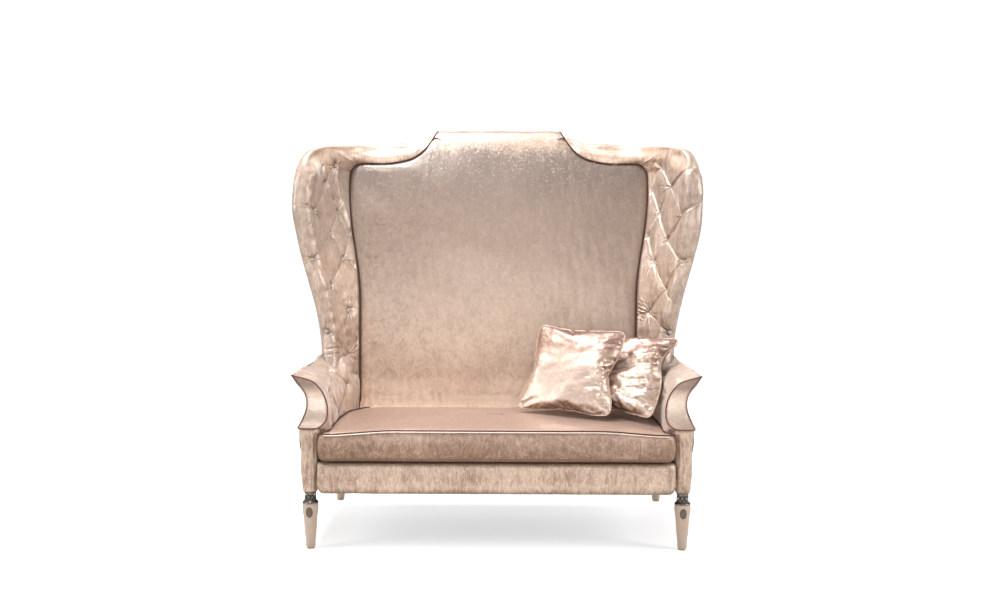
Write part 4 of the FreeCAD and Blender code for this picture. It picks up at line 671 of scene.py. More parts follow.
def wing_section(a, c, d, corner, e, f, bow):
    """A section's samples from the seam over the face, front roll and outside to the rear."""
    face = c - a
    normal = np.cross(face, (0, 0, 1.0)) if abs(face[2]) < 0.03 else np.cross(face, (-1.0, 0, 0))
    normal /= np.linalg.norm(normal)
    if normal[1] > 0:
        normal = -normal
    points = [a]
    for share in (0.25, 0.5, 0.75):
        points.append(a + face * share + normal * bow * 4 * share * (1 - share))
    middle = 0.4142 * corner + 0.2929 * (d + e)
    out = (e + f) / 2 + (corner - (d + e) / 2) * 0.15
    points += [c, d, middle, e, out, f]
    return chord_curve(points, FACE_COLS + NOSE_COLS + SIDE_COLS + OUT_COLS)


def wing_base():
    """The wing's undisplaced grid: distances along it, and points."""
    rows = key_rows()
    knots = [r[0] for r in rows]
    sections = np.array([wing_section(*r[1:]) for r in rows])
    rho = np.concatenate([np.arange(0.56, 1.9, 0.0024), np.arange(1.9, 2.155, 0.003)])
    return rho, natural(knots, sections, rho)


RHO, WING = wing_base()
WING_U = run_along(WING, 1)
FACE_END = sum(FACE_COLS)
FACE_WIDE = WING_U[:, FACE_END]


def wing_at(rho, share):
    """The point of the wing at a distance along it and a share of its face's width."""
    i = np.clip(np.searchsorted(RHO, rho), 1, len(RHO) - 1)
    out = []
    for k in (i - 1, i):
        u = share * FACE_WIDE[k]
        out.append([np.interp(u, WING_U[k], WING[k, :, c]) for c in range(3)])
    t = (rho - RHO[i - 1]) / (RHO[i] - RHO[i - 1])
    return np.array(out[0]) * (1 - t) + np.array(out[1]) * t


def path_on_wing(side, stops):
    places = [BUTTONS[side][s] if isinstance(s, int) else s for s in stops]
    places = np.array([p[:2] for p in places], float)
    if len(places) > 2:
        places = chord_curve(places, [8] * (len(places) - 1))
    else:
        places = np.linspace(places[0], places[1], 9)
    return np.array([wing_at(r, s) for r, s in places])


def star(p, normal, place, seed, reach, amp):
    """Fine creases that run out from a button, each of its own length and depth."""
    d = p - place
    across = np.cross(normal, (0.0, 0.0, 1.0))
    across /= max(np.linalg.norm(across), 1e-9)
    up = np.cross(across, normal)
    a, b = d @ across, d @ up
    r = np.linalg.norm(d, axis=-1)
    rng = np.random.default_rng(seed)
    total = np.zeros_like(r)
    turn = rng.uniform(0, 6.28)
    for k in range(11):
        angle = turn + (k + rng.uniform(-0.35, 0.35)) * 2 * math.pi / 11
        along = a * math.cos(angle) + b * math.sin(angle)
        aside = -a * math.sin(angle) + b * math.cos(angle)
        aside = aside + 0.10 * along * math.sin(k * 2.3)
        long = reach * rng.uniform(0.35, 1.0)
        wide = 0.0018 + 0.035 * np.maximum(along, 0)
        crease = np.exp(-(aside / wide) ** 2) - 0.8 * np.exp(-((aside - 2.2 * wide) / wide) ** 2)
        total -= rng.uniform(0.5, 1.0) * crease * (along > 0) * np.exp(-(along / long) ** 2)
    return amp * total * r / (r + 0.006)


def wing_surface(side, s):
    seed = 11 if s > 0 else 23
    p = WING
    n = grid_normals(p)
    if n[10, 30, 0] > 0 or n[10, 30, 1] > 0:
        n = -n
    face = WING_U / FACE_WIDE[:, None]
    rho = RHO[:, None] * np.ones(p.shape[1])
    inside = smooth((1.34 - face) / 0.24) * smooth((1.60 - rho) / 0.10)
    edge = smooth(np.minimum(WING_U / 0.016, 1.0))
    swell, reach = SWELL[side]
    folds = np.full(p.shape[:2], 1.0)
    crease = np.zeros(p.shape[:2])
    for number, (stops, deep, wide) in enumerate(PLEATS[side]):
        line = path_on_wing(side, stops)
        d, along = line_distance(p, line)
        fade = smooth((1 - along) / 0.35) if not isinstance(stops[-1], int) else 1.0
        folds = np.minimum(folds, d + 0.02 * (1 - min(deep / 3.0, 1.0)) + 0.02 * (1 - fade))
        # the cloth laps over itself along the pleat, so one lip stands higher
        j = np.clip((along * (len(line) - 1)).astype(int), 0, len(line) - 2)
        hand = np.sign(np.einsum("ijk,ijk->ij", np.cross((line[1:] - line[:-1])[j], p - line[j]), n))
        lap = hand * (1 if number % 2 else -1)
        w = wide / 1000.0
        cut = -np.exp(-(d / w) ** 1.4) + (0.30 + 0.16 * lap) * np.exp(-((d - 1.9 * w) / (1.1 * w)) ** 2)
        crease += deep / 1000.0 * cut * fade * (0.85 + 0.15 * np.sin(along * 9 + number))
    h = (swell * (1 - np.exp(-(folds / reach) ** 1.2)) - 0.45 * swell + crease) * inside * edge
    for i, (z, share) in enumerate(BUTTONS[side]):
        at = wing_at(z, share)
        row = np.argmin(abs(RHO - z))
        col = int(np.argmin(abs(face[row] - share)))
        r = np.linalg.norm(p - at, axis=-1)
        deep = 0.0085 if s > 0 or i in (0, 1, 2, 3) else 0.0065
        h -= deep * (0.55 * np.exp(-(r / 0.0145) ** 4) + 0.45 * np.exp(-(r / 0.024) ** 2)) * inside
        strong = 1.5 if (side, i) in STRONG_STARS else 1.0
        h += star(p, n[row, col], at, seed + i, 0.040 * strong, 0.0030 * strong) * inside * edge
    if s < 0:
        # a long roll of cloth tapers down beside the back's piping
        stops = [(1.470, 0.42), (1.43, 0.37), (1.36, 0.28), (1.30, 0.19), (1.244, 0.10), (1.18, 0.03)]
        ridge = np.array([wing_at(z, q) for z, q in chord_curve(stops, [6] * 5)])
        d, along = line_distance(p, ridge)
        roll = np.exp(-(d / (0.021 - 0.011 * along)) ** 2)
        h += (0.012 - 0.008 * along) * smooth(along / 0.15) * roll * edge
    # gathers that spread from the back panel's top corner along the seam
    wobble = 0.010 * waves(p, seed + 50, 0.20)
    gather = np.sin(2 * math.pi * (rho + wobble) / 0.021) * (0.6 + 0.4 * waves(p, seed + 52, 0.10))
    window = smooth((rho - 1.40) / 0.05) * smooth((1.74 - rho) / 0.16)
    h += 0.0017 * gather * window * np.exp(-(WING_U / 0.050) ** 2) * np.minimum(WING_U / 0.010, 1)
    if s > 0:
        fan = np.sin(2 * math.pi * (rho + 0.25 * WING_U) / 0.016) * np.exp(-((rho - 0.845) / 0.04) ** 2)
        h += 0.0014 * fan * smooth((0.35 - face) / 0.15) * np.minimum(WING_U / 0.006, 1)
    h += 0.0005 * waves(p, seed + 70, 0.05) * inside * edge
    h += 0.0016 * waves(p, seed + 71, 0.16) * edge * (0.35 + 0.65 * inside)
    # the outer side stays clear of the board's top corner
    corner = smooth((p[..., 0] - 0.700) / 0.015) * smooth((p[..., 1] - 0.19) / 0.05)
    level = np.exp(-((p[..., 2] - 1.424) / 0.024) ** 2)
    h += 0.0030 * level * corner * smooth((0.352 - p[..., 1]) / 0.02)
    p = p + n * h[..., None]
    return np.concatenate([p, p[-1:] + np.array([-0.024, 0.0, -0.008])], 0), n


BUTTON_RADIUS, BUTTON_RISE = 0.0098, 0.0052


def axes_across(way):
    """A button's facing as a unit vector, with two unit vectors across it."""
    way = np.asarray(way) / np.linalg.norm(way)
    a = np.cross(way, (0, 0, 1.0))
    a /= np.linalg.norm(a)
    return way, a, np.cross(way, a)


def button_pits(places):
    """Dark rings round the buttons: painted shadow in their pits."""
    rings = []
    ang = np.linspace(0, 2 * math.pi, 24, endpoint=False)
    wide = 0.0112 * (1 + 0.05 * np.cos(ang * 7))
    for at, way in places:
        way, a, b = axes_across(way)
        rings.append(at - way * 0.0008 + np.outer(np.cos(ang) * wide, a)
                     + np.outer(np.sin(ang) * wide, b))
    return tube_parts(rings, 0.0023, 8, True)


def button_mesh(places):
    """Covered buttons: low domes with a gathered rim, as (place, facing)."""
    verts, faces = [], []
    radii = [0.35, 0.62, 0.83, 0.95, 1.0, 0.96, 0.80]
    highs = [0.95, 0.82, 0.60, 0.36, 0.08, -0.25, -0.6]
    sides = 18
    ang = np.arange(sides) * 2 * math.pi / sides
    for at, way in places:
        way, a, b = axes_across(way)
        start = len(verts)
        for r, q in zip(radii, highs):
            crimp = 1 + 0.03 * np.cos(ang * 9) * (r > 0.9)
            across = np.outer(np.cos(ang) * crimp, a) + np.outer(np.sin(ang) * crimp, b)
            verts += list(at + way * BUTTON_RISE * q + BUTTON_RADIUS * r * across)
        verts.append(at + way * BUTTON_RISE)
        faces += grid_faces(len(radii), sides, start, True)
        tip = len(verts) - 1
        for j in range(sides):
            faces.append((tip, start + (j + 1) % sides, start + j))
    return verts, faces


button_places = []
wing_grids = {}
for side, s in SIDES:
    grid, normals = wing_surface(side, s)
    wing_grids[side] = grid
    wing = grid_object(side_name("wing_cover", s), mirrored(grid, s), VELVET, flip=s > 0, slot="velvet",
                       replaces=("wing_pad_" + side, "top_border_" + side, "outside_wing_" + side))
    for z, share in BUTTONS[side]:
        row = int(np.argmin(abs(RHO - z)))
        col = int(np.argmin(abs(WING_U[row] / FACE_WIDE[row] - share)))
        at = grid[row, col] + normals[row, col] * 0.0035
        button_places.append((mirrored(at, s), mirrored(normals[row, col], s)))

# Arms

ARM_TUFTS = {"right": [(-0.250, 0.555), (-0.110, 0.622), (-0.115, 0.470), (0.000, 0.553)],
             "left": [(-0.250, 0.555), (-0.100, 0.632), (-0.115, 0.455), (0.000, 0.553)]}
ARM_COLS = (6, 8, 12, 12, 12, 12, 12)


def wing_foot(y):
    """Half width of the wing's face at the waist, at a depth."""
    return 0.650 - 0.084 * np.clip((y + 0.010) / 0.122, 0, 1)


def arm_station(y):
    xi, xl, zl = float(arm_in(y)), float(lip_x(y)), float(lip_z(y))
    hidden = float(smooth((y + 0.045) / 0.05))
    top_x = xl * (1 - hidden) + (wing_foot(y) + 0.012) * hidden
    top_z = zl * (1 - hidden) + 0.705 * hidden
    wide, high = top_x - xi, top_z - BULGE[2]

    def at(a, b):
        return (xi + wide * a, y, BULGE[2] + high * b)

    front = float(smooth((-y - 0.33) / 0.085))
    low = (WAIST_X - 0.001 - 0.02 * hidden, y, 0.560)
    mid = (WAIST_X + (xl - WAIST_X) * 0.25 - 0.02 * hidden, y, 0.562 + 0.4 * (zl - 0.562))
    foot = (xi + 0.034 * front, y, 0.325 + 0.129 * front)
    rise = (xi + 0.014 * front, y, 0.40 + 0.066 * front)
    return chord_curve([foot, rise, at(0, 0), at(0.12, 0.46), at(0.413, 0.80),
                        at(0.738, 0.90)], ARM_COLS[:5]), \
        chord_curve([at(0.738, 0.90), at(0.9, 0.955), at(1, 1)], (6, 6)), \
        chord_curve([at(1, 1), mid, low], (8, 6))


RHO_LOW = np.flatnonzero((RHO > 0.60) & (RHO < 0.80))


def arm_surface(side, s):
    ys = np.concatenate([np.linspace(0.114, -0.345, 100), np.linspace(-0.35, -0.428, 22)])
    rows = []
    for y in ys:
        a, b, c = arm_station(float(y))
        rows.append(np.concatenate([a, b[1:], c[1:]]))
    p = np.array(rows)
    # the front end follows the hollow facing
    depth = scoop_y(np.clip(p[..., 2], SCOOP_LOW, SCOOP_HIGH))
    blend = smooth((-p[..., 1] - 0.24) / 0.186)
    front_share = np.clip((0.114 - p[..., 1]) / (0.114 + 0.428), 0, 1)
    y_end = 0.114 + (depth - 0.114) * front_share
    p[..., 1] = p[..., 1] * (1 - blend) + y_end * blend
    n = grid_normals(p)
    if n[20, 8, 0] > 0:
        n = -n
    h = 0.0022 * waves(p, 31 if s > 0 else 37, 0.16) + 0.0009 * waves(p, 33 if s > 0 else 39, 0.05)
    u = run_along(p, 1)
    places = []
    for i, (y, z) in enumerate(ARM_TUFTS[side]):
        k = np.argmin(np.abs(p[:, :60, 1] - y) + np.abs(p[:, :60, 2] - z))
        row, col = np.unravel_index(k, p[:, :60, 0].shape)
        at, way = p[row, col].copy(), n[row, col].copy()
        places.append((at, way, row, col))
        r = np.linalg.norm(p - at, axis=-1)
        h -= 0.011 * np.exp(-(r / 0.024) ** 2)
        h += star(p, way, at, 60 + i + (0 if s > 0 else 10), 0.075, 0.0014)
    links = [(0, 1), (0, 2), (1, 3), (2, 3), (1, 2)]
    for a, b in links:
        line = np.linspace(places[a][0], places[b][0], 9)
        ends = np.array([p[np.unravel_index(np.argmin(np.linalg.norm(p - q, axis=-1)), p.shape[:2])]
                         for q in line])
        d, _ = line_distance(p, ends)
        h -= 0.0045 * np.exp(-(d / 0.010) ** 1.3)
    edge = smooth(np.minimum(u / 0.03, 1)) * smooth((p[..., 2] - 0.36) / 0.05)
    front = smooth((p[..., 1] - scoop_y(np.clip(p[..., 2], SCOOP_LOW, SCOOP_HIGH))) / 0.012)
    h *= edge * front
    low = wing_grids[side][RHO_LOW]
    tree = KDTree(low.shape[0] * low.shape[1])
    for k, q in enumerate(low.reshape(-1, 3)):
        tree.insert(q, k)
    tree.balance()
    away = np.array([tree.find(q)[2] for q in p.reshape(-1, 3)]).reshape(p.shape[:2])
    h -= 0.007 * np.exp(-(away / 0.012) ** 2)
    for at, way, row, col in places:
        here = p[row, col] + n[row, col] * (h[row, col] + 0.002)
        button_places.append((mirrored(here, s), mirrored(way, s)))
    return p + n * h[..., None]


def facing_lines(step=0.004):
    """Inner and outer outlines of an arm's hollow front, from the tip down, as x and z."""
    inner = [(0.748, 0.650), (0.733, 0.6445), (0.716, 0.6395), (0.691, 0.631), (0.674, 0.6225),
             (0.656, 0.604), (0.643, 0.585), (0.6305, 0.556), (0.623, 0.525), (0.622, 0.500),
             (0.6265, 0.477), (0.640, 0.462), (0.655, 0.4545), (0.680, 0.4525), (0.7245, 0.4525)]
    outer = [(0.748, 0.650), (0.744, 0.641), (0.733, 0.617), (0.717, 0.594), (0.7065, 0.575),
             (0.7005, 0.552), (0.700, 0.532), (0.7055, 0.504), (0.7145, 0.480), (0.727, 0.455)]
    return even_curve(inner, step), even_curve(outer, step)


FACING_IN, FACING_OUT = facing_lines()


def facing_surface(s):
    count = 90
    t = np.linspace(0, 1, count)
    a = np.stack([np.interp(t, np.linspace(0, 1, len(FACING_IN)), FACING_IN[:, i]) for i in (0, 1)], 1)
    b = np.stack([np.interp(t, np.linspace(0, 1, len(FACING_OUT)), FACING_OUT[:, i]) for i in (0, 1)], 1)
    across = np.linspace(0, 1, 28)
    grid = a[:, None] * (1 - across[None, :, None]) + b[:, None] * across[None, :, None]
    x, z = grid[..., 0], grid[..., 1]
    y = scoop_y(z) - 0.0008
    edge = np.minimum(across, 1 - across)[None, :] * np.linalg.norm(a - b, axis=1)[:, None]
    y = y + 0.003 * np.exp(-edge / 0.006)
    p = np.stack([x, y, z], -1)
    p[..., 1] -= 0.0012 * (0.5 + 0.5 * waves(p, 81, 0.05)) * smooth(edge / 0.02)
    return p


facing_pipes, facing_thin = [], []
for side, s in SIDES:
    p = mirrored(arm_surface(side, s), s)
    arm = grid_object(side_name("arm_cover", s), p, ARM_VELVET_PAINTED_LIGHT, flip=s > 0, slot="velvet",
                      replaces=("arm_pad_" + side,))
    p = mirrored(facing_surface(s), s)
    face = grid_object(side_name("arm_front", s), p, FACING_VELVET, flip=s < 0, slot="velvet",
                       replaces=("arm_facing_" + side,))
    for line, store in ((FACING_IN, facing_pipes), (FACING_OUT, facing_thin)):
        path = np.stack([line[:, 0], scoop_y(line[:, 1]) - 0.0015, line[:, 1]], 1)
        store.append(mirrored(path, s))
verts, faces = tube_parts(facing_pipes, 0.0027)
new_object("arm_front_piping", verts, faces, FACING_PIPING, slot="dark_piping",
           replaces=("facing_piping",))
verts, faces = tube_parts(facing_thin, 0.0017)
new_object("arm_front_edging", verts, faces, ROSE_PIPING, slot="dark_piping")


def outside_arm_surface():
    z = np.linspace(SIDE_HEIGHTS[0], SIDE_HEIGHTS[-1], 60)
    x = natural(SIDE_HEIGHTS, [0.715, 0.7205, 0.728, 0.708, 0.7005], z)
    facing_foot, rear = 0.4525, 0.333
    front = np.where(z < facing_foot, -0.366, scoop_y(np.clip(z, facing_foot, SCOOP_HIGH)))
    y = front[:, None] + (rear - front[:, None]) * np.linspace(0, 1, 90)[None, :]
    p = np.zeros(y.shape + (3,))
    p[..., 0] = x[:, None]
    p[..., 1] = y
    p[..., 2] = z[:, None]
    edge = np.minimum(np.minimum(y - front[:, None], rear - y), (z - z[0])[:, None])
    p[..., 0] += 0.0035 * smooth(edge / 0.03) + 0.001 * waves(p, 91, 0.12) - 0.003
    return p


for side, s in SIDES:
    p = mirrored(outside_arm_surface(), s)
    panel = grid_object(side_name("arm_outside", s), p, VELVET, flip=s < 0, slot="velvet",
                        replaces=("outside_arm_" + side,))

verts, faces = button_mesh(button_places)
new_object("covered_buttons", verts, faces, BUTTON_VELVET, slot="velvet", replaces=("buttons",))
# painted shadow: a near-black ring round each button
verts, faces = button_pits(button_places)
new_object("button_shadow_rings", verts, faces, SHADOW_RING_VELVET, slot="velvet")

# Back pad with its crest

REAR_TOP = float(rear_y(CREST_TOP - 0.008)) - 0.004


def crest_curve():
    """Depth and height along the middle of the crest, from the back's slope over to the rear."""
    z0 = 1.500
    y0 = float(back_y(z0))
    slope = (z0 - 0.6) / (2.512 - y0)
    points = [(y0 - slope * 0.03, z0 - 0.03), (y0, z0), (y0 + 0.0125, z0 + 0.028),
              (y0 + 0.0275, z0 + 0.055), (y0 + 0.0475, z0 + 0.0745), (y0 + 0.0730, CREST_TOP),
              (y0 + 0.105, CREST_TOP + 0.001), (REAR_TOP - 0.012, CREST_TOP - 0.002),
              (REAR_TOP, CREST_TOP - 0.010)]
    dense = chord_curve(points, [30] * (len(points) - 1))[30:]
    run = z0 + np.concatenate([[0], np.cumsum(np.linalg.norm(np.diff(dense, axis=0), axis=1))])
    return run, dense


ROLL_RUN, ROLL_LINE = crest_curve()
CREST_END = float(ROLL_RUN[-1])


def crest_place(run):
    """Depth and height of the back pad at a height measured along its cloth."""
    run = np.asarray(run, float)
    over = run > ROLL_RUN[0]
    y = np.where(over, np.interp(run, ROLL_RUN, ROLL_LINE[:, 0]), back_y(run))
    z = np.where(over, np.interp(run, ROLL_RUN, ROLL_LINE[:, 1]), run)
    return y, z


PANEL_EDGE = [(0.5665, 1.443), (0.51, 1.4435), (0.448, 1.445), (0.408, 1.451), (0.367, 1.462),
              (0.333, 1.480), (0.305, 1.507), (0.286, 1.536), (0.272, 1.562), (0.262, 1.590),
              (0.256, 1.622), (0.253, CREST_END)]


def panel_top(x):
    """Top of the back pad at a half width, measured along its cloth."""
    x = np.abs(x)
    edge = np.array(PANEL_EDGE)[::-1]
    top = np.interp(x, edge[:, 0], edge[:, 1])
    corner = np.clip(x - (PANEL_FULL - PANEL_CORNER), 0, PANEL_CORNER)
    round_top = PANEL_TOP - PANEL_CORNER + np.sqrt(np.maximum(PANEL_CORNER ** 2 - corner ** 2, 0))
    return np.where(x > PANEL_FULL - PANEL_CORNER, round_top, top)


def panel_edge_line():
    """The seam round the pad's right side, as half width and height along the cloth."""
    side_z = np.linspace(0.455, 1.398, 40)
    ang = np.linspace(0, math.pi / 2, 12)[1:-1]
    corner = [(PANEL_FULL - PANEL_CORNER * (1 - math.cos(a)), 1.398 + PANEL_CORNER * math.sin(a))
              for a in ang]
    points = [(float(panel_x(z)), z) for z in side_z] + corner
    curve = even_curve(PANEL_EDGE, 0.006)
    return np.array(points + [tuple(q) for q in curve])


PANEL_LINE = panel_edge_line()


def back_surface():
    edge = np.array([0, 0.10, 0.20, 0.235, 0.252, 0.2535, 0.256, 0.262, 0.272, 0.286, 0.305, 0.333,
                     0.367, 0.408, 0.448, 0.51, 0.5665, 0.585, 0.598, 0.606, 0.610, PANEL_FULL])
    half = np.interp(np.linspace(0, len(edge) - 1, 110), np.arange(len(edge)), edge) / PANEL_FULL
    shares = np.concatenate([-half[::-1], half[1:]])
    tops = panel_top(shares * PANEL_FULL)
    rows = np.concatenate([np.linspace(0, 0.80, 90), np.linspace(0.80, 1, 91)[1:]])
    low = 0.345
    run = low + rows[:, None] * (tops[None, :] - low)
    x = shares[None, :] * panel_x(run)
    y, z = crest_place(run)
    p = np.stack([x, y, z], -1)
    flat = np.stack([np.abs(x), run], -1)
    d, _ = line_distance(flat, PANEL_LINE)
    n = grid_normals(p)
    if n[30, 110, 1] > 0:
        n = -n
    h = 0.0055 * (1 - np.exp(-d / 0.013)) - 0.0025
    h += 0.0012 * waves(p, 101, 0.35) * smooth(d / 0.05)
    h += 0.0004 * waves(p * np.array([1, 1, 0.4]), 103, 0.05) * smooth(d / 0.03)
    # small puckers along the crest's curved seam
    pucker = np.sin(run * 2 * math.pi / 0.022 + 9 * x)
    h += 0.0006 * pucker * np.exp(-d / 0.02) * smooth((run - 1.40) / 0.05)
    # the foot swells over the seat cushion's rear edge
    h += 0.014 * smooth((0.500 - run) / 0.055)
    # room for the seat cushion's zip when the cushion is lifted
    h -= 0.0042 * smooth((run - 0.500) / 0.08) * smooth((1.10 - run) / 0.35)
    foot = np.exp(-((run - 0.470) / 0.030) ** 2)
    h += 0.0007 * foot * np.sin(x * 2 * math.pi / 0.034 + 3 * waves(p, 104, 0.3))
    p = p + n * h[..., None]
    back = smooth((run[:, [0, -1]] - 1.50) / 0.05)[..., None]
    sides = p[:, [0, -1]] - n[:, [0, -1]] * (0.012 + 0.040 * back)
    p = np.concatenate([sides[:, :1], p, sides[:, 1:]], 1)
    skirt = p[-1] + np.array([0, 0.003, -0.03])
    return np.concatenate([p, skirt[None]], 0)


pad = grid_object("back_cover", back_surface(), PANEL_VELVET, slot="velvet", replaces=("back_pad",))
for _, s in SIDES:
    # cloth that closes the crest's end
    top = np.stack([np.full(len(ROLL_LINE), 0.2525), ROLL_LINE[:, 0], ROLL_LINE[:, 1] - 0.001], 1)
    share = np.linspace(0, 1, 8)[:, None, None]
    low = top * np.array([1, 1, 0]) + np.array([0, 0, 1.500])
    end = top[None] * (1 - share) + low[None] * share
    grid_object(side_name("crest_end", s), mirrored(end, s), VELVET, flip=s > 0, slot="velvet")


def seam_path(line, s, lift):
    y, z = crest_place(line[:, 1])
    ahead = crest_place(line[:, 1] + 0.002)
    behind = crest_place(line[:, 1] - 0.002)
    slope = np.stack([ahead[0] - behind[0], ahead[1] - behind[1]], 1)
    slope /= np.linalg.norm(slope, axis=1, keepdims=True)
    return np.stack([line[:, 0] * s, y - slope[:, 1] * lift, z + slope[:, 0] * lift], 1)


# the piping sinks into its seam up the crest's ends
lift = 0.0022 - 0.0036 * smooth((PANEL_LINE[:, 1] - 1.49) / 0.07)
paths = [seam_path(PANEL_LINE, s, lift) for _, s in SIDES]
verts, faces = tube_parts(paths, 0.0027)
new_object("back_edge_piping", verts, faces, PIPING, slot="dark_piping", replaces=("back_piping",))

# Top edge of the outside back, from the middle to the side, as half width and height
BACK_TOP = [(0.0, 1.574), (0.245, 1.574), (0.262, 1.562), (0.285, 1.538), (0.33, 1.516),
            (0.39, 1.506), (0.60, 1.502), (0.66, 1.494), (0.695, 1.470), (0.712, 1.43), (0.7345, 1.34)]


def outside_back_surface():
    def width(z):
        low = natural(SIDE_HEIGHTS + [0.70], [0.712, 0.718, 0.7255, 0.708, 0.7005, 0.7005],
                      np.ravel(z)).reshape(np.shape(z))
        return np.where(z < 0.70, low, 0.7005 + 0.034 * smooth((z - 0.70) / 0.56))

    full, bottom = BACK_TOP[-1][0], SIDE_HEIGHTS[0]
    cols = np.concatenate([np.linspace(0, 0.24, 14), np.linspace(0.25, 0.40, 26),
                           np.linspace(0.42, full, 44)]) / full
    shares = np.concatenate([-cols[::-1], cols[1:]])
    top = np.array(BACK_TOP)
    tops = np.interp(np.abs(shares) * full, top[:, 0], top[:, 1])
    rows = np.linspace(0, 1, 150)
    z = bottom + rows[:, None] * (tops[None, :] - bottom)
    x = shares[None, :] * width(z)
    p = np.stack([x, rear_y(z), z], -1)
    flat = np.stack([np.abs(x), z], -1)
    side = np.array([(float(width(np.array(q))), q) for q in np.linspace(bottom, BACK_TOP[-1][1], 40)]
                    + [tuple(q) for q in BACK_TOP[::-1]])
    d, _ = line_distance(flat, side)
    h = 0.0045 * (1 - np.exp(-d / 0.012)) - 0.004 + 0.0018 * waves(p, 111, 0.4) * smooth(d / 0.08)
    for x0 in (-0.40, 0.40):
        h -= 0.003 * np.exp(-((x - x0) / 0.0035) ** 2) * smooth(d / 0.01)
    p[..., 1] += h
    path = np.stack([side[:, 0] - 0.002, rear_y(side[:, 1]) - 0.0005, side[:, 1]], 1)
    return p, path


p, welt = outside_back_surface()
rear = grid_object("back_outside", p, VELVET, flip=True, slot="velvet", replaces=("outside_back",))
welt = even_curve(welt[::2], 0.01)
verts, faces = tube_parts([mirrored(welt, s) for _, s in SIDES], 0.003)
new_object("back_outside_welt", verts, faces, VELVET, slot="velvet")

# Posts, apron, deck


def lathe(profile, centre, sides=64, ripple=None):
    """A turned surface about an upright axis; ripple(angle, z) adds to the radius."""
    prof = np.asarray(profile, float)
    ang = np.arange(sides) * 2 * math.pi / sides
    r = prof[:, 0][:, None] + (ripple(ang[None, :], prof[:, 1][:, None]) if ripple else 0.0)
    return np.stack([centre[0] + r * np.cos(ang), centre[1] + r * np.sin(ang),
                     prof[:, 1][:, None] * np.ones(sides)], -1)


def post_ripple(ang, z):
    fade = smooth((z - 0.214) / 0.02) * smooth((0.452 - z) / 0.02)
    pull = 0.0007 * np.cos(14 * ang + 8 * z) + 0.0005 * np.cos(9 * ang - 20 * z)
    return pull * fade


post_profile = even_curve([(0.010, 0.2125), (0.021, 0.2125), (0.0272, 0.217), (0.0285, 0.228),
                           (0.0318, 0.270), (0.0338, 0.322), (0.0350, 0.400), (0.0362, 0.4465),
                           (0.0335, 0.4512), (0.010, 0.4515)], 0.004)
for side, s in SIDES:
    p = lathe(post_profile, (s * POST[0], POST[1]), 72, post_ripple)
    post = grid_object(side_name("post_sleeve", s), p, APRON_VELVET, closed=True, slot="velvet",
                       replaces=("post_cover_" + side,))


def apron_surface():
    half = 0.656
    profile = chord_curve([(-0.402, 0.2125), (-0.4185, 0.2135), (-0.4245, 0.220), (-0.4262, 0.245),
                           (-0.4272, 0.270), (-0.4262, 0.305), (-0.4215, 0.3195), (-0.412, 0.3258),
                           (-0.402, 0.3262)], [5, 5, 6, 6, 6, 5, 5, 3])
    x = np.linspace(-half, half, 260)
    p = np.zeros((len(profile), len(x), 3))
    p[..., 0] = x[None, :]
    p[..., 1] = profile[:, 0][:, None]
    p[..., 2] = profile[:, 1][:, None]
    end = half - np.abs(x)[None, :]
    drop = 0.020 * (1 - np.sqrt(np.clip(1 - (1 - np.clip(end / 0.020, 0, 1)) ** 2, 0, 1)))
    p[..., 2] += drop * (0.326 - p[..., 2]) / 0.114
    p[..., 1] += 0.010 * (1 - smooth(end / 0.025))
    p[..., 1] += 0.0010 * waves(p * np.array([1, 1, 0.4]), 121, 0.11) + 0.0004 * waves(p, 122, 0.04)
    return p


apron = grid_object("front_cover", apron_surface(), APRON_VELVET, flip=True, slot="velvet",
                    replaces=("front_apron",))


def rounded_slab(low, high, step=0.02, radius=0.006, seed=1, dip=0.0):
    """A closed thin slab with rounded edges, as one grid wrapped round its depth."""
    (x0, y0, z0), (x1, y1, z1) = low, high
    r = radius
    half = (z1 - z0) / 2
    ring = []
    for t in np.linspace(0, 1, max(int((x1 - x0) / step), 4)):
        ring.append((x0 + r + (x1 - x0 - 2 * r) * t, 1.0))
    for a in np.linspace(0, math.pi, 9)[1:-1]:
        ring.append((x1 - r + r * math.sin(a), math.cos(a)))
    for t in np.linspace(0, 1, max(int((x1 - x0) / step), 4)):
        ring.append((x1 - r - (x1 - x0 - 2 * r) * t, -1.0))
    for a in np.linspace(0, math.pi, 9)[1:-1]:
        ring.append((x0 + r - r * math.sin(a), -math.cos(a)))
    ys = np.concatenate([[y0], y0 + r * (1 - np.cos(np.linspace(0, math.pi / 2, 5)))[1:],
                         np.linspace(y0 + r, y1 - r, max(int((y1 - y0) / step), 4))[1:-1],
                         y1 - r * (1 - np.cos(np.linspace(math.pi / 2, 0, 5)))])
    rows = []
    mid = (z0 + z1) / 2
    for y in ys:
        edge = min(y - y0, y1 - y)
        thin = math.sqrt(max(1 - (1 - min(edge / r, 1)) ** 2, 0.0004))
        rows.append([(x, y, mid + half * k * thin) for x, k in ring])
    p = np.array(rows)
    if dip:
        inside = smooth(np.minimum(np.minimum(p[..., 0] - x0, x1 - p[..., 0]),
                                   np.minimum(p[..., 1] - y0, y1 - p[..., 1])) / 0.06)
        p[..., 2] += dip * inside * waves(p, seed, 0.25) * (p[..., 2] > mid)
    return p


low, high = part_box("deck_pad")
p = rounded_slab(tuple(low), tuple(high), 0.02, 0.008, 5, 0.0012)
caps = [tuple(range(p.shape[1] - 1, -1, -1)), tuple(range((p.shape[0] - 1) * p.shape[1], p.size // 3))]
verts, faces = join_grids([(p, True, True)])
deck = new_object("seat_deck", verts, faces + caps, LINING, slot="lining", replaces=("deck_pad",))

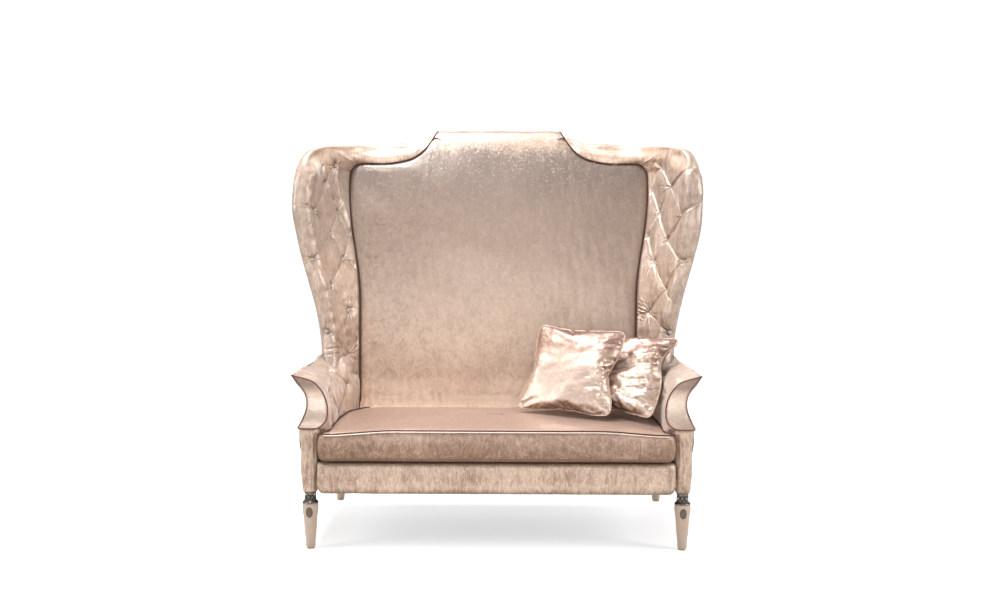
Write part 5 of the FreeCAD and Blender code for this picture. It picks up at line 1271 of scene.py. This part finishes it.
low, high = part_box("dust_cover")
xs, ys = np.linspace(low[0], high[0], 60), np.linspace(low[1], high[1], 36)
p = np.zeros((len(xs), len(ys), 3))
p[..., 0], p[..., 1] = xs[:, None], ys[None, :]
p[..., 2] = low[2] + 0.0004 - 0.004 * (smooth(np.minimum(xs - xs[0], xs[-1] - xs) / 0.25)[:, None]
                                       * smooth(np.minimum(ys - ys[0], ys[-1] - ys) / 0.2)[None, :])
dust = grid_object("dust_sheet", p, LINING, slot="lining", replaces=("dust_cover",))

# Legs


def leg_ripple(ang, z):
    return 0.0003 * np.cos(7 * ang + 15 * z)


leg_profile = even_curve([(0.004, 0.0062), (0.0145, 0.0062), (0.0168, 0.0085), (0.0176, 0.016),
                          (0.0210, 0.060), (0.0256, 0.120), (0.0293, 0.1655), (0.0285, 0.1698),
                          (0.004, 0.170)], 0.003)
# The openwork neck: its radius, and the heights of its crossing bars
NECK, NECK_LOW, NECK_HIGH = 0.0205, 0.1832, 0.2080
dish = even_curve([(0.004, 0.1705), (0.0285, 0.1705), (0.0302, 0.1725), (0.0292, 0.1752),
                   (0.0262, 0.1785), (0.0232, 0.1810), (0.0205, 0.1828), (0.0180, 0.184)], 0.0015)
for side, s in SIDES:
    centre = (s * POST[0], POST[1])
    p = lathe(leg_profile, centre, 56, leg_ripple)
    grid_object(side_name("leg_sleeve", s), p, LEG_COVER, closed=True, slot="leg_cover",
                replaces=("front_leg_" + side,))
    verts, faces = join_grids([(lathe(dish, centre, 48), True, False),
                               (lathe([(0.0218, 0.2075), (0.0222, 0.2085), (0.0222, 0.2118),
                                       (0.0212, 0.2124), (0.004, 0.2124)], centre, 48), True, False)])
    # the openwork neck: crossing bars and two rings round a dark core
    bars, count = [], 9
    for i in range(count):
        for hand in (1, -1):
            t = np.linspace(0, 1, 9)
            ang = 2 * math.pi * i / count + hand * t * 2 * math.pi / count
            bars.append(np.stack([centre[0] + NECK * np.cos(ang), centre[1] + NECK * np.sin(ang),
                                  NECK_LOW + (NECK_HIGH - NECK_LOW) * t], 1))
    add_parts(verts, faces, *tube_parts(bars, 0.0013, 8))
    ang = np.arange(40) * 2 * math.pi / 40
    for z, thick in ((0.1838, 0.0017), (0.2072, 0.0017), (0.1955, 0.001)):
        ring = np.stack([centre[0] + NECK * np.cos(ang), centre[1] + NECK * np.sin(ang),
                         np.full(40, z)], 1)
        add_parts(verts, faces, *tube_parts([ring], thick, 8, True))
    new_object(side_name("collar", s), verts, faces, COLLAR, slot="collar_metal",
               replaces=("leg_collar_" + side,))
    core = lathe([(0.0155, 0.180), (0.0162, 0.186), (0.0158, 0.195), (0.0162, 0.206), (0.0155, 0.211)],
                 centre, 40)
    grid_object(side_name("collar_core", s), core, COLLAR_DARK, closed=True, slot="collar_metal")


def badge_parts(s):
    """An oval plate that follows the leg, with a rim of small beads."""
    def leg_radius(z):
        return 0.017 + 0.013 * (z - 0.006) / 0.164

    def on_leg(a, b, out):
        """Point at a across and b up from the badge's middle, out from the leg's surface."""
        z = 0.140 + b
        r = leg_radius(z) + out
        ang = -math.pi / 2 + a / leg_radius(0.140)
        return np.array([s * POST[0] + r * math.cos(ang), POST[1] + r * math.sin(ang), z])

    rings = np.linspace(0, 1, 8)
    ang = np.arange(36) * 2 * math.pi / 36
    plate = [[on_leg(0.0105 * t * math.cos(a), 0.0175 * t * math.sin(a), 0.0012 + 0.0006 * (1 - t * t))
              for a in ang] for t in rings[1:]]
    verts = [on_leg(0, 0, 0.0018)] + [v for row in plate for v in row]
    faces = [(0, 1 + j, 1 + (j + 1) % 36) for j in range(36)]
    faces += grid_faces(len(plate), 36, 1, True, True)
    rim = np.array([on_leg(0.0108 * math.cos(a), 0.0180 * math.sin(a), 0.0012)
                    for a in np.arange(64) * 2 * math.pi / 64])
    radii = 0.0012 + 0.0003 * np.cos(np.arange(64) * math.pi)
    return verts, faces, rim, radii


plates, plate_faces, rims, rim_faces = [], [], [], []
for side, s in SIDES:
    verts, faces, rim, radii = badge_parts(s)
    add_parts(plates, plate_faces, verts, faces)
    g = tube_grid(rim, radii, 8, True)
    rim_faces += grid_faces(g.shape[0], 8, len(rims), True)
    rims += list(g.reshape(-1, 3))
new_object("badge_plates", plates, plate_faces, BADGE, slot="badge", replaces=("leg_badges",))
new_object("badge_rims", rims, rim_faces, BADGE_RIM, slot="badge")

# Seat cushion

# Heights of the seat cushion's underside, of its top piping at the back, and of its crown
CUSHION_LOW, CUSHION_PIPING, CUSHION_CROWN = 0.3338, 0.4515, 0.4665
# Where the rows that run in towards the middle of the cushion stop, and how far they reach
CUSHION_INSET = 0.30


def cushion_plan():
    """Right half of the seat cushion's outline, from the middle of the front to the back."""
    gap = 0.0035
    pts = [(0.0, -0.4395), (0.30, -0.4392), (0.55, -0.4385), (0.628, -0.4372), (0.6445, -0.4305),
           (0.6475, -0.421), (0.6455, -0.4155), (0.6345, -0.409), (0.6215, -0.4015), (0.6185, -0.385),
           (BULGE[0] - gap, -0.330), (float(arm_in(-0.24)) - gap, -0.240),
           (float(arm_in(-0.15)) - gap, -0.150), (float(arm_in(-0.06)) - gap, -0.060),
           (float(arm_in(0.02)) - gap - 0.001, 0.020), (0.556, 0.062), (0.536, 0.090),
           (0.500, 0.1035), (0.40, 0.107), (0.0, 0.1075)]
    return even_curve(pts, 0.007)


def cushion_outline():
    """The whole outline, from the middle of the front round the right side to the left side."""
    half = cushion_plan()
    return np.concatenate([half, half[1:-1][::-1] * np.array([-1.0, 1.0])])


def cushion_edge(p):
    """Height of the top piping at a place of the outline: the front corners are pulled down."""
    corner = smooth((np.abs(p[:, 0]) - 0.36) / 0.27) * smooth((-p[:, 1] - 0.02) / 0.40)
    return CUSHION_PIPING - 0.0145 * corner


def cushion_surface():
    full = cushion_outline()
    centre = np.array([0.0, -0.166])
    edge_z = cushion_edge(full)
    front = smooth((-full[:, 1] - 0.36) / 0.06)
    inner = CUSHION_INSET * (1 - np.linspace(0, 1, 26)[:-1] ** 1.7)
    grid = []
    for inset in inner:
        z = CUSHION_LOW + 0.003 * inset / CUSHION_INSET
        grid.append(np.concatenate([inward(full, centre, inset), np.full((len(full), 1), z)], 1))
    for k in np.linspace(0.0, 1.0, 34):
        # a full face that tucks under at the bottom and in towards the piping at the top
        bulge = 0.0105 * math.sin(math.pi * k ** 1.12) ** 0.72 - 0.0035
        bulge -= 0.010 * max(1 - k / 0.16, 0) ** 2 + 0.0015 * math.exp(-((k - 0.94) / 0.035) ** 2)
        out = full + outward(full) * (bulge * (0.35 + 0.65 * front))[:, None]
        z = CUSHION_LOW + (edge_z - 0.003 - CUSHION_LOW) * k
        grid.append(np.concatenate([out, z[:, None]], 1))
    for inset in inner[::-1]:
        share = min(inset / CUSHION_INSET, 1.0)
        z = edge_z + (CUSHION_CROWN - edge_z) * math.sin(share * math.pi / 2) ** 0.8
        grid.append(np.concatenate([inward(full, centre, inset), z[:, None]], 1))
    return np.array(grid)


def inward(p, centre, inset):
    """The outline drawn in towards the middle by about inset metres."""
    return p + (centre - p) * min(inset / 0.273, 1.0) * 0.985


def outward(p):
    """Unit vectors that point out of a closed outline."""
    t = np.roll(p, -1, 0) - np.roll(p, 1, 0)
    n = np.stack([t[:, 1], -t[:, 0]], 1)
    return n / np.linalg.norm(n, axis=1, keepdims=True)


p = cushion_surface()
d_top = smooth((p[..., 2] - cushion_edge(p[0])[None, :] + 0.001) / 0.01)
p[..., 2] += 0.0016 * waves(p * np.array([1, 1, 0]), 141, 0.30) * d_top
face_bulge = smooth((-p[..., 1] - 0.40) / 0.03) * (1 - d_top) * smooth((p[..., 2] - 0.345) / 0.02)
p[..., 1] += face_bulge * (0.0016 * waves(p, 142, 0.16) + 0.0006 * waves(p, 143, 0.05))
verts, faces = join_grids([(p, True, False)])
cols = p.shape[1]
low_c, high_c = p[0].mean(0), p[-1].mean(0)
verts += [low_c, high_c]
faces += [(len(verts) - 2, (j + 1) % cols, j) for j in range(cols)]
last = (p.shape[0] - 1) * cols
faces += [(len(verts) - 1, last + j, last + (j + 1) % cols) for j in range(cols)]
seat = new_object("seat_cushion_cover", verts, faces, SEAT_VELVET, body="seat_cushion", slot="velvet",
                  replaces=("seat_cushion",))
outline = cushion_outline()
edge_path = outline + outward(outline) * 0.0005
path = np.concatenate([edge_path, (cushion_edge(outline) - 0.0015)[:, None]], 1)
verts, faces = tube_parts([path], 0.0030, 10, True)
new_object("seat_cushion_welt", verts, faces, PIPING, body="seat_cushion", slot="dark_piping",
           replaces=("seat_cushion_piping",))

# painted highlight: a thin pale strip just below the piping along the front stands in for the piping's
# own highlight
front_run = outline[(outline[:, 1] < -0.43) & (np.abs(outline[:, 0]) < 0.635)]
front_run = front_run[np.argsort(front_run[:, 0])]
path = np.concatenate([front_run + [0.0, -0.0030], (cushion_edge(front_run) - 0.0062)[:, None]], 1)
verts, faces = tube_parts([path], 0.0024)
new_object("seat_cushion_highlight_strip", verts, faces, HIGHLIGHT_STRIP_VELVET, body="seat_cushion", slot="velvet")

# Scatter cushions


def flat_cushion(half, sags, count=72):
    """Two layers of cloth joined round the edge, nearly flat, as a closed mesh in XZ. sags says how
    far the top, right, bottom and left edges are drawn in between their corners."""
    t = np.linspace(-1, 1, count)
    gx, gz = np.meshgrid(t, t, indexing="ij")
    square = np.maximum(np.abs(gx), np.abs(gz))
    rounded = (np.abs(gx) ** 18 + np.abs(gz) ** 18 + 1e-18) ** (1 / 18)
    gx, gz = gx * square / rounded, gz * square / rounded
    edge = 1 - np.maximum(np.abs(gx), np.abs(gz))
    soft = 0.003 + 0.018 * smooth(edge / 0.5)
    x = gx * half * np.sqrt(1 - 0.085 * gz ** 2)
    z = gz * half * np.sqrt(1 - 0.085 * gx ** 2)
    top, right, bottom, left = sags
    z = (z - top * np.maximum(gz, 0) ** 2 * (1 - gx ** 2)
         + bottom * np.maximum(-gz, 0) ** 2 * (1 - gx ** 2))
    notch = np.exp(-((gz - right[1]) / 0.55) ** 2) * (1 - gz ** 4)
    x = x - right[0] * np.maximum(gx, 0) ** 2 * notch + left * np.maximum(-gx, 0) ** 2 * (1 - gz ** 2)
    verts, faces, places, index = [], [], [], {}
    for layer in (-1, 1):
        for i in range(count):
            for j in range(count):
                rim = i in (0, count - 1) or j in (0, count - 1)
                if rim and layer > 0:
                    index[(layer, i, j)] = index[(-1, i, j)]
                    continue
                index[(layer, i, j)] = len(verts)
                depth = 0.0 if rim else layer * soft[i, j]
                verts.append((x[i, j], depth, z[i, j]))
                places.append((gx[i, j], gz[i, j], 0.0 if rim else layer))
        for i in range(count - 1):
            for j in range(count - 1):
                quad = [index[(layer, *c)] for c in ((i, j), (i + 1, j), (i + 1, j + 1), (i, j + 1))]
                faces.append(tuple(quad if layer < 0 else quad[::-1]))
    rim = ([(i, 0) for i in range(count)] + [(count - 1, j) for j in range(1, count)]
           + [(i, count - 1) for i in range(count - 2, -1, -1)]
           + [(0, j) for j in range(count - 2, 0, -1)])
    return verts, faces, [index[(-1, i, j)] for i, j in rim], np.array(places)


def inflate(obj, pressure, frames, stiff=8.0):
    """Blows the cloth up over some frames, keeps the shape it has then, and returns its points."""
    cloth = obj.modifiers.new("cloth", "CLOTH")
    s = cloth.settings
    s.use_pressure = True
    s.uniform_pressure_force = pressure
    s.effector_weights.gravity = 0.0
    s.quality = 6
    s.mass = 0.25
    s.tension_stiffness = stiff
    s.compression_stiffness = stiff
    s.shear_stiffness = stiff * 0.5
    s.bending_stiffness = 0.05
    s.air_damping = 3.0
    cloth.collision_settings.use_collision = False
    scene = bpy.context.scene
    for f in range(1, frames + 1):
        scene.frame_set(f)
    bpy.context.view_layer.update()
    result = obj.evaluated_get(bpy.context.evaluated_depsgraph_get())
    co = np.array([v.co for v in result.data.vertices], float)
    obj.modifiers.remove(cloth)
    scene.frame_set(1)
    obj.data.vertices.foreach_set("co", co.ravel())
    obj.data.update()
    return co


def scatter_matrix(turn, lean, roll, middle):
    m = Matrix.Rotation(math.radians(turn), 4, "Z") @ Matrix.Rotation(math.radians(lean), 4, "X")
    return Matrix.Translation(middle) @ m @ Matrix.Rotation(math.radians(roll), 4, "Y")


# Each scatter cushion: its turn, lean, roll and middle, how its edges sag, and the folds on its front
# as (from, to, depth in mm, width in mm) with places as shares of the half width and height.
SCATTERS = {
    "front": ((-21.7, -30.1, 1.5, (0.299, -0.103, 0.6308)), (-0.002, (0.012, -0.1), -0.006, -0.008),
              [((1.0, 0.30), (0.55, 0.12), 6, 9), ((1.0, 0.12), (0.50, -0.05), 5, 8),
               ((1.0, -0.08), (0.62, -0.25), 4, 7), ((0.95, 0.72), (0.35, 0.52), 5, 10),
               ((1.0, 0.55), (0.55, 0.40), 4, 8), ((0.95, -0.55), (0.68, -0.50), 4, 7),
               ((0.9, -0.80), (0.55, -0.62), 3, 8), ((-0.55, 0.98), (0.15, 0.62), 4, 12),
               ((-1.0, 0.05), (-0.78, -0.02), 3, 6), ((-1.0, -0.35), (-0.75, -0.40), 3, 6),
               ((-0.9, -0.92), (-0.45, -0.70), 3, 9), ((0.85, -0.95), (0.35, -0.78), 3, 9)]),
    "rear": ((-36.9, -36.6, 0.0, (0.501, -0.090, 0.617)), (0.006, (0.022, 0.45), 0.004, 0.0),
             [((1.0, 0.48), (0.30, 0.36), 9, 11), ((1.0, 0.30), (0.15, 0.12), 6, 10),
              ((1.0, 0.72), (0.45, 0.66), 4, 9), ((0.95, -0.05), (0.20, -0.25), 6, 10),
              ((1.0, -0.30), (0.40, -0.48), 5, 9), ((0.2, 0.10), (-0.35, -0.10), 4, 12),
              ((0.9, -0.75), (0.15, -0.60), 5, 9), ((0.3, -0.95), (0.05, -0.55), 4, 9),
              ((-0.1, -0.35), (-0.6, -0.50), 4, 12)])}


def crumple(places, co, folds, seed, calm):
    """How far the cloth sinks at its folds and rises in the gathers along its edges."""
    u, v, layer = places.T
    edge = 0.18 * (1 - np.maximum(np.abs(u), np.abs(v)))
    run = 0.18 * np.where(np.abs(u) > np.abs(v), v, u)
    wobble = waves(co, seed + 1, 0.09)
    h = 0.0016 * np.sin(2 * math.pi * run / 0.0165 + 1.6 * wobble) * np.exp(-edge / 0.016) * (edge > 0)
    lively = 0.25 + 0.75 * smooth((u - calm) / 0.5)
    h += 0.0011 * lively * waves(co, seed + 2, 0.055) * smooth(edge / 0.03)
    h += 0.0024 * lively * waves(co * np.array([1.0, 0.3, 1.7]), seed + 3, 0.14) * smooth(edge / 0.04)
    ridges = waves(co * np.array([0.8, 0.3, 1.5]), seed + 4, 0.085)
    creased = np.clip(1 - 1.6 * np.abs(ridges), 0, 1) ** 3
    h += 0.0050 * creased * smooth(edge / 0.02) * smooth((u - calm) / 0.6) * (1 - 0.6 * smooth(v / 0.5))
    flat = np.stack([u, v], 1) * 0.18
    for i, (a, b, deep, wide) in enumerate(folds):
        line = np.array([a, (np.array(a) + b) / 2 + (0.0, 0.03 * (-1) ** i), b]) * 0.18
        d, along = line_distance(flat, line)
        w = wide / 1000.0
        cut = -np.exp(-(d / w) ** 1.5) + 0.55 * np.exp(-((d - 1.8 * w) / w) ** 2)
        h += deep / 1000.0 * cut * smooth((1 - along) / 0.5) * (layer < 0) * smooth(edge / 0.006)
    return h


for name, (place, sags, folds) in SCATTERS.items():
    seed = 201 if name == "front" else 231
    verts, faces, rim, places = flat_cushion(0.188, sags)
    obj = new_object("scatter_" + name + "_cover", verts, faces, SCATTER_VELVET,
                     body="scatter_" + name, slot="scatter_velvet",
                     replaces=("scatter_cushion_" + name,))
    co = inflate(obj, 4.0, 20)
    co *= np.array([0.356, 0.090, 0.352]) / np.ptp(co, axis=0)
    if name == "front":
        # the left side stands a little taller than the right one
        co[:, 2] += 0.006 * smooth(-places[:, 0]) * smooth(places[:, 1])
        co[:, 0] -= 0.022 * smooth(-places[:, 0]) * smooth(-places[:, 1])
    co[:, 1] += places[:, 2] * crumple(places, co, folds, seed, 0.15 if name == "front" else -0.5)
    m = np.array(scatter_matrix(*place))
    world = co @ m[:3, :3].T + m[:3, 3]
    obj.data.vertices.foreach_set("co", world.ravel())
    obj.data.update()
    sub = obj.modifiers.new("fine", "SUBSURF")
    sub.levels = sub.render_levels = 1
    verts, faces = tube_parts([world[rim]], 0.0030, 8, True)
    new_object("scatter_" + name + "_welt", verts, faces, SCATTER_PIPING, body="scatter_" + name,
               slot="scatter_velvet", replaces=("scatter_piping_" + name,))

# Stage, light and camera


def stage_material(name, near, far, mirrored_share):
    """A pale surface that the camera sees as white far away, and that keeps a shadow near the seat."""
    m = Nodes(name)
    path = m.add("ShaderNodeLightPath")
    away = m.add("ShaderNodeVectorMath", operation="LENGTH")
    m.put(away.inputs[0], m.coord)
    glow = m.ramp(m.math("MULTIPLY", away.outputs["Value"], 0.1), [(0.20, near), (0.50, far)])
    mirror = m.math("MAXIMUM", path.outputs["Is Glossy Ray"], path.outputs["Is Transmission Ray"])
    seen = m.math("MAXIMUM", path.outputs["Is Camera Ray"], m.math("MULTIPLY", mirror, mirrored_share))
    return m.finish(Base_Color=(0.72, 0.72, 0.72, 1.0), Roughness=1.0, Specular_IOR_Level=0.0,
                    Emission_Color=(1.0, 1.0, 1.0, 1.0),
                    Emission_Strength=m.math("MULTIPLY", seen, glow))


def stage(name, rings, material):
    """A round stage surface from (radius, height) rings."""
    ang = np.linspace(0, 2 * math.pi, 64, endpoint=False)
    p = np.array([[(r * math.cos(a), r * math.sin(a), z) for a in ang] for r, z in rings])
    mesh = bpy.data.meshes.new(name)
    mesh.from_pydata([tuple(v) for v in p.reshape(-1, 3)], [], grid_faces(len(rings), 64, 0, True))
    obj = bpy.data.objects.new(name, mesh)
    bpy.context.scene.collection.objects.link(obj)
    mesh.materials.append(material)


STAGE_RADIUS, STAGE_HEIGHT = 12.0, 9.0
stage("studio_floor", [(0.001, 0.0), (1.0, 0.0), (2.5, 0.0), (5.0, 0.0), (STAGE_RADIUS, 0.0)],
      stage_material("stage_floor", 0.60, 1.0, 0.7))
stage("studio_wall", [(STAGE_RADIUS, 0.0), (STAGE_RADIUS, STAGE_HEIGHT)],
      stage_material("stage_wall", 1.0, 1.0, 0.4))


def area_light(name, place, target, size, power):
    data = bpy.data.lights.new(name, "AREA")
    data.shape = "RECTANGLE"
    data.size, data.size_y = size
    data.energy = power
    obj = bpy.data.objects.new(name, data)
    bpy.context.scene.collection.objects.link(obj)
    obj.location = place
    way = Vector(target) - Vector(place)
    obj.rotation_euler = way.to_track_quat("-Z", "Y").to_euler()
    obj.visible_camera = False


area_light("key", (-0.9, -0.15, 3.9), (0, 0.05, 0.8), (2.2, 1.1), 145)
area_light("front", (-0.6, -6.4, 1.7), (0, 0, 0.9), (3.6, 1.4), 84)
area_light("fill_right", (3.6, -1.6, 2.2), (0, 0, 0.9), (1.4, 2.2), 85)
area_light("fill_left", (-3.6, -1.6, 2.2), (0, 0, 0.9), (1.4, 2.2), 62)
area_light("top", (0.3, 0.9, 4.2), (0, 0, 0.8), (2.6, 1.6), 30)
area_light("rear", (0.5, 3.2, 2.6), (0, 0, 0.8), (2.6, 1.8), 35)

world = bpy.data.worlds.new("studio")
bpy.context.scene.world = world
world.use_nodes = True
world.node_tree.nodes["Background"].inputs[0].default_value = (1.0, 1.0, 1.0, 1.0)
world.node_tree.nodes["Background"].inputs[1].default_value = 0.30

# Camera fitted to the photograph: place, turn to the left, tilt down and roll
camera_data = bpy.data.cameras.new("camera")
camera_data.sensor_width = 36.0
camera_data.lens = 1236.5 * 36.0 / 1000.0
camera = bpy.data.objects.new("camera", camera_data)
bpy.context.scene.collection.objects.link(camera)
yaw, pitch, roll = math.radians(-0.4255), math.radians(4.0329), math.radians(0.15)
forward = Vector((math.sin(yaw) * math.cos(pitch), math.cos(yaw) * math.cos(pitch), -math.sin(pitch)))
right = Vector((math.cos(yaw), -math.sin(yaw), 0.0))
up = right.cross(forward)
right_rolled = right * math.cos(roll) + up * math.sin(roll)
up_rolled = -right * math.sin(roll) + up * math.cos(roll)
turn = Matrix((right_rolled, up_rolled, -forward)).transposed()
camera.matrix_world = Matrix.Translation((0.0453, -4.8862, 1.2413)) @ turn.to_4x4()
bpy.context.scene.camera = camera
bpy.context.scene.view_settings.view_transform = "Standard"
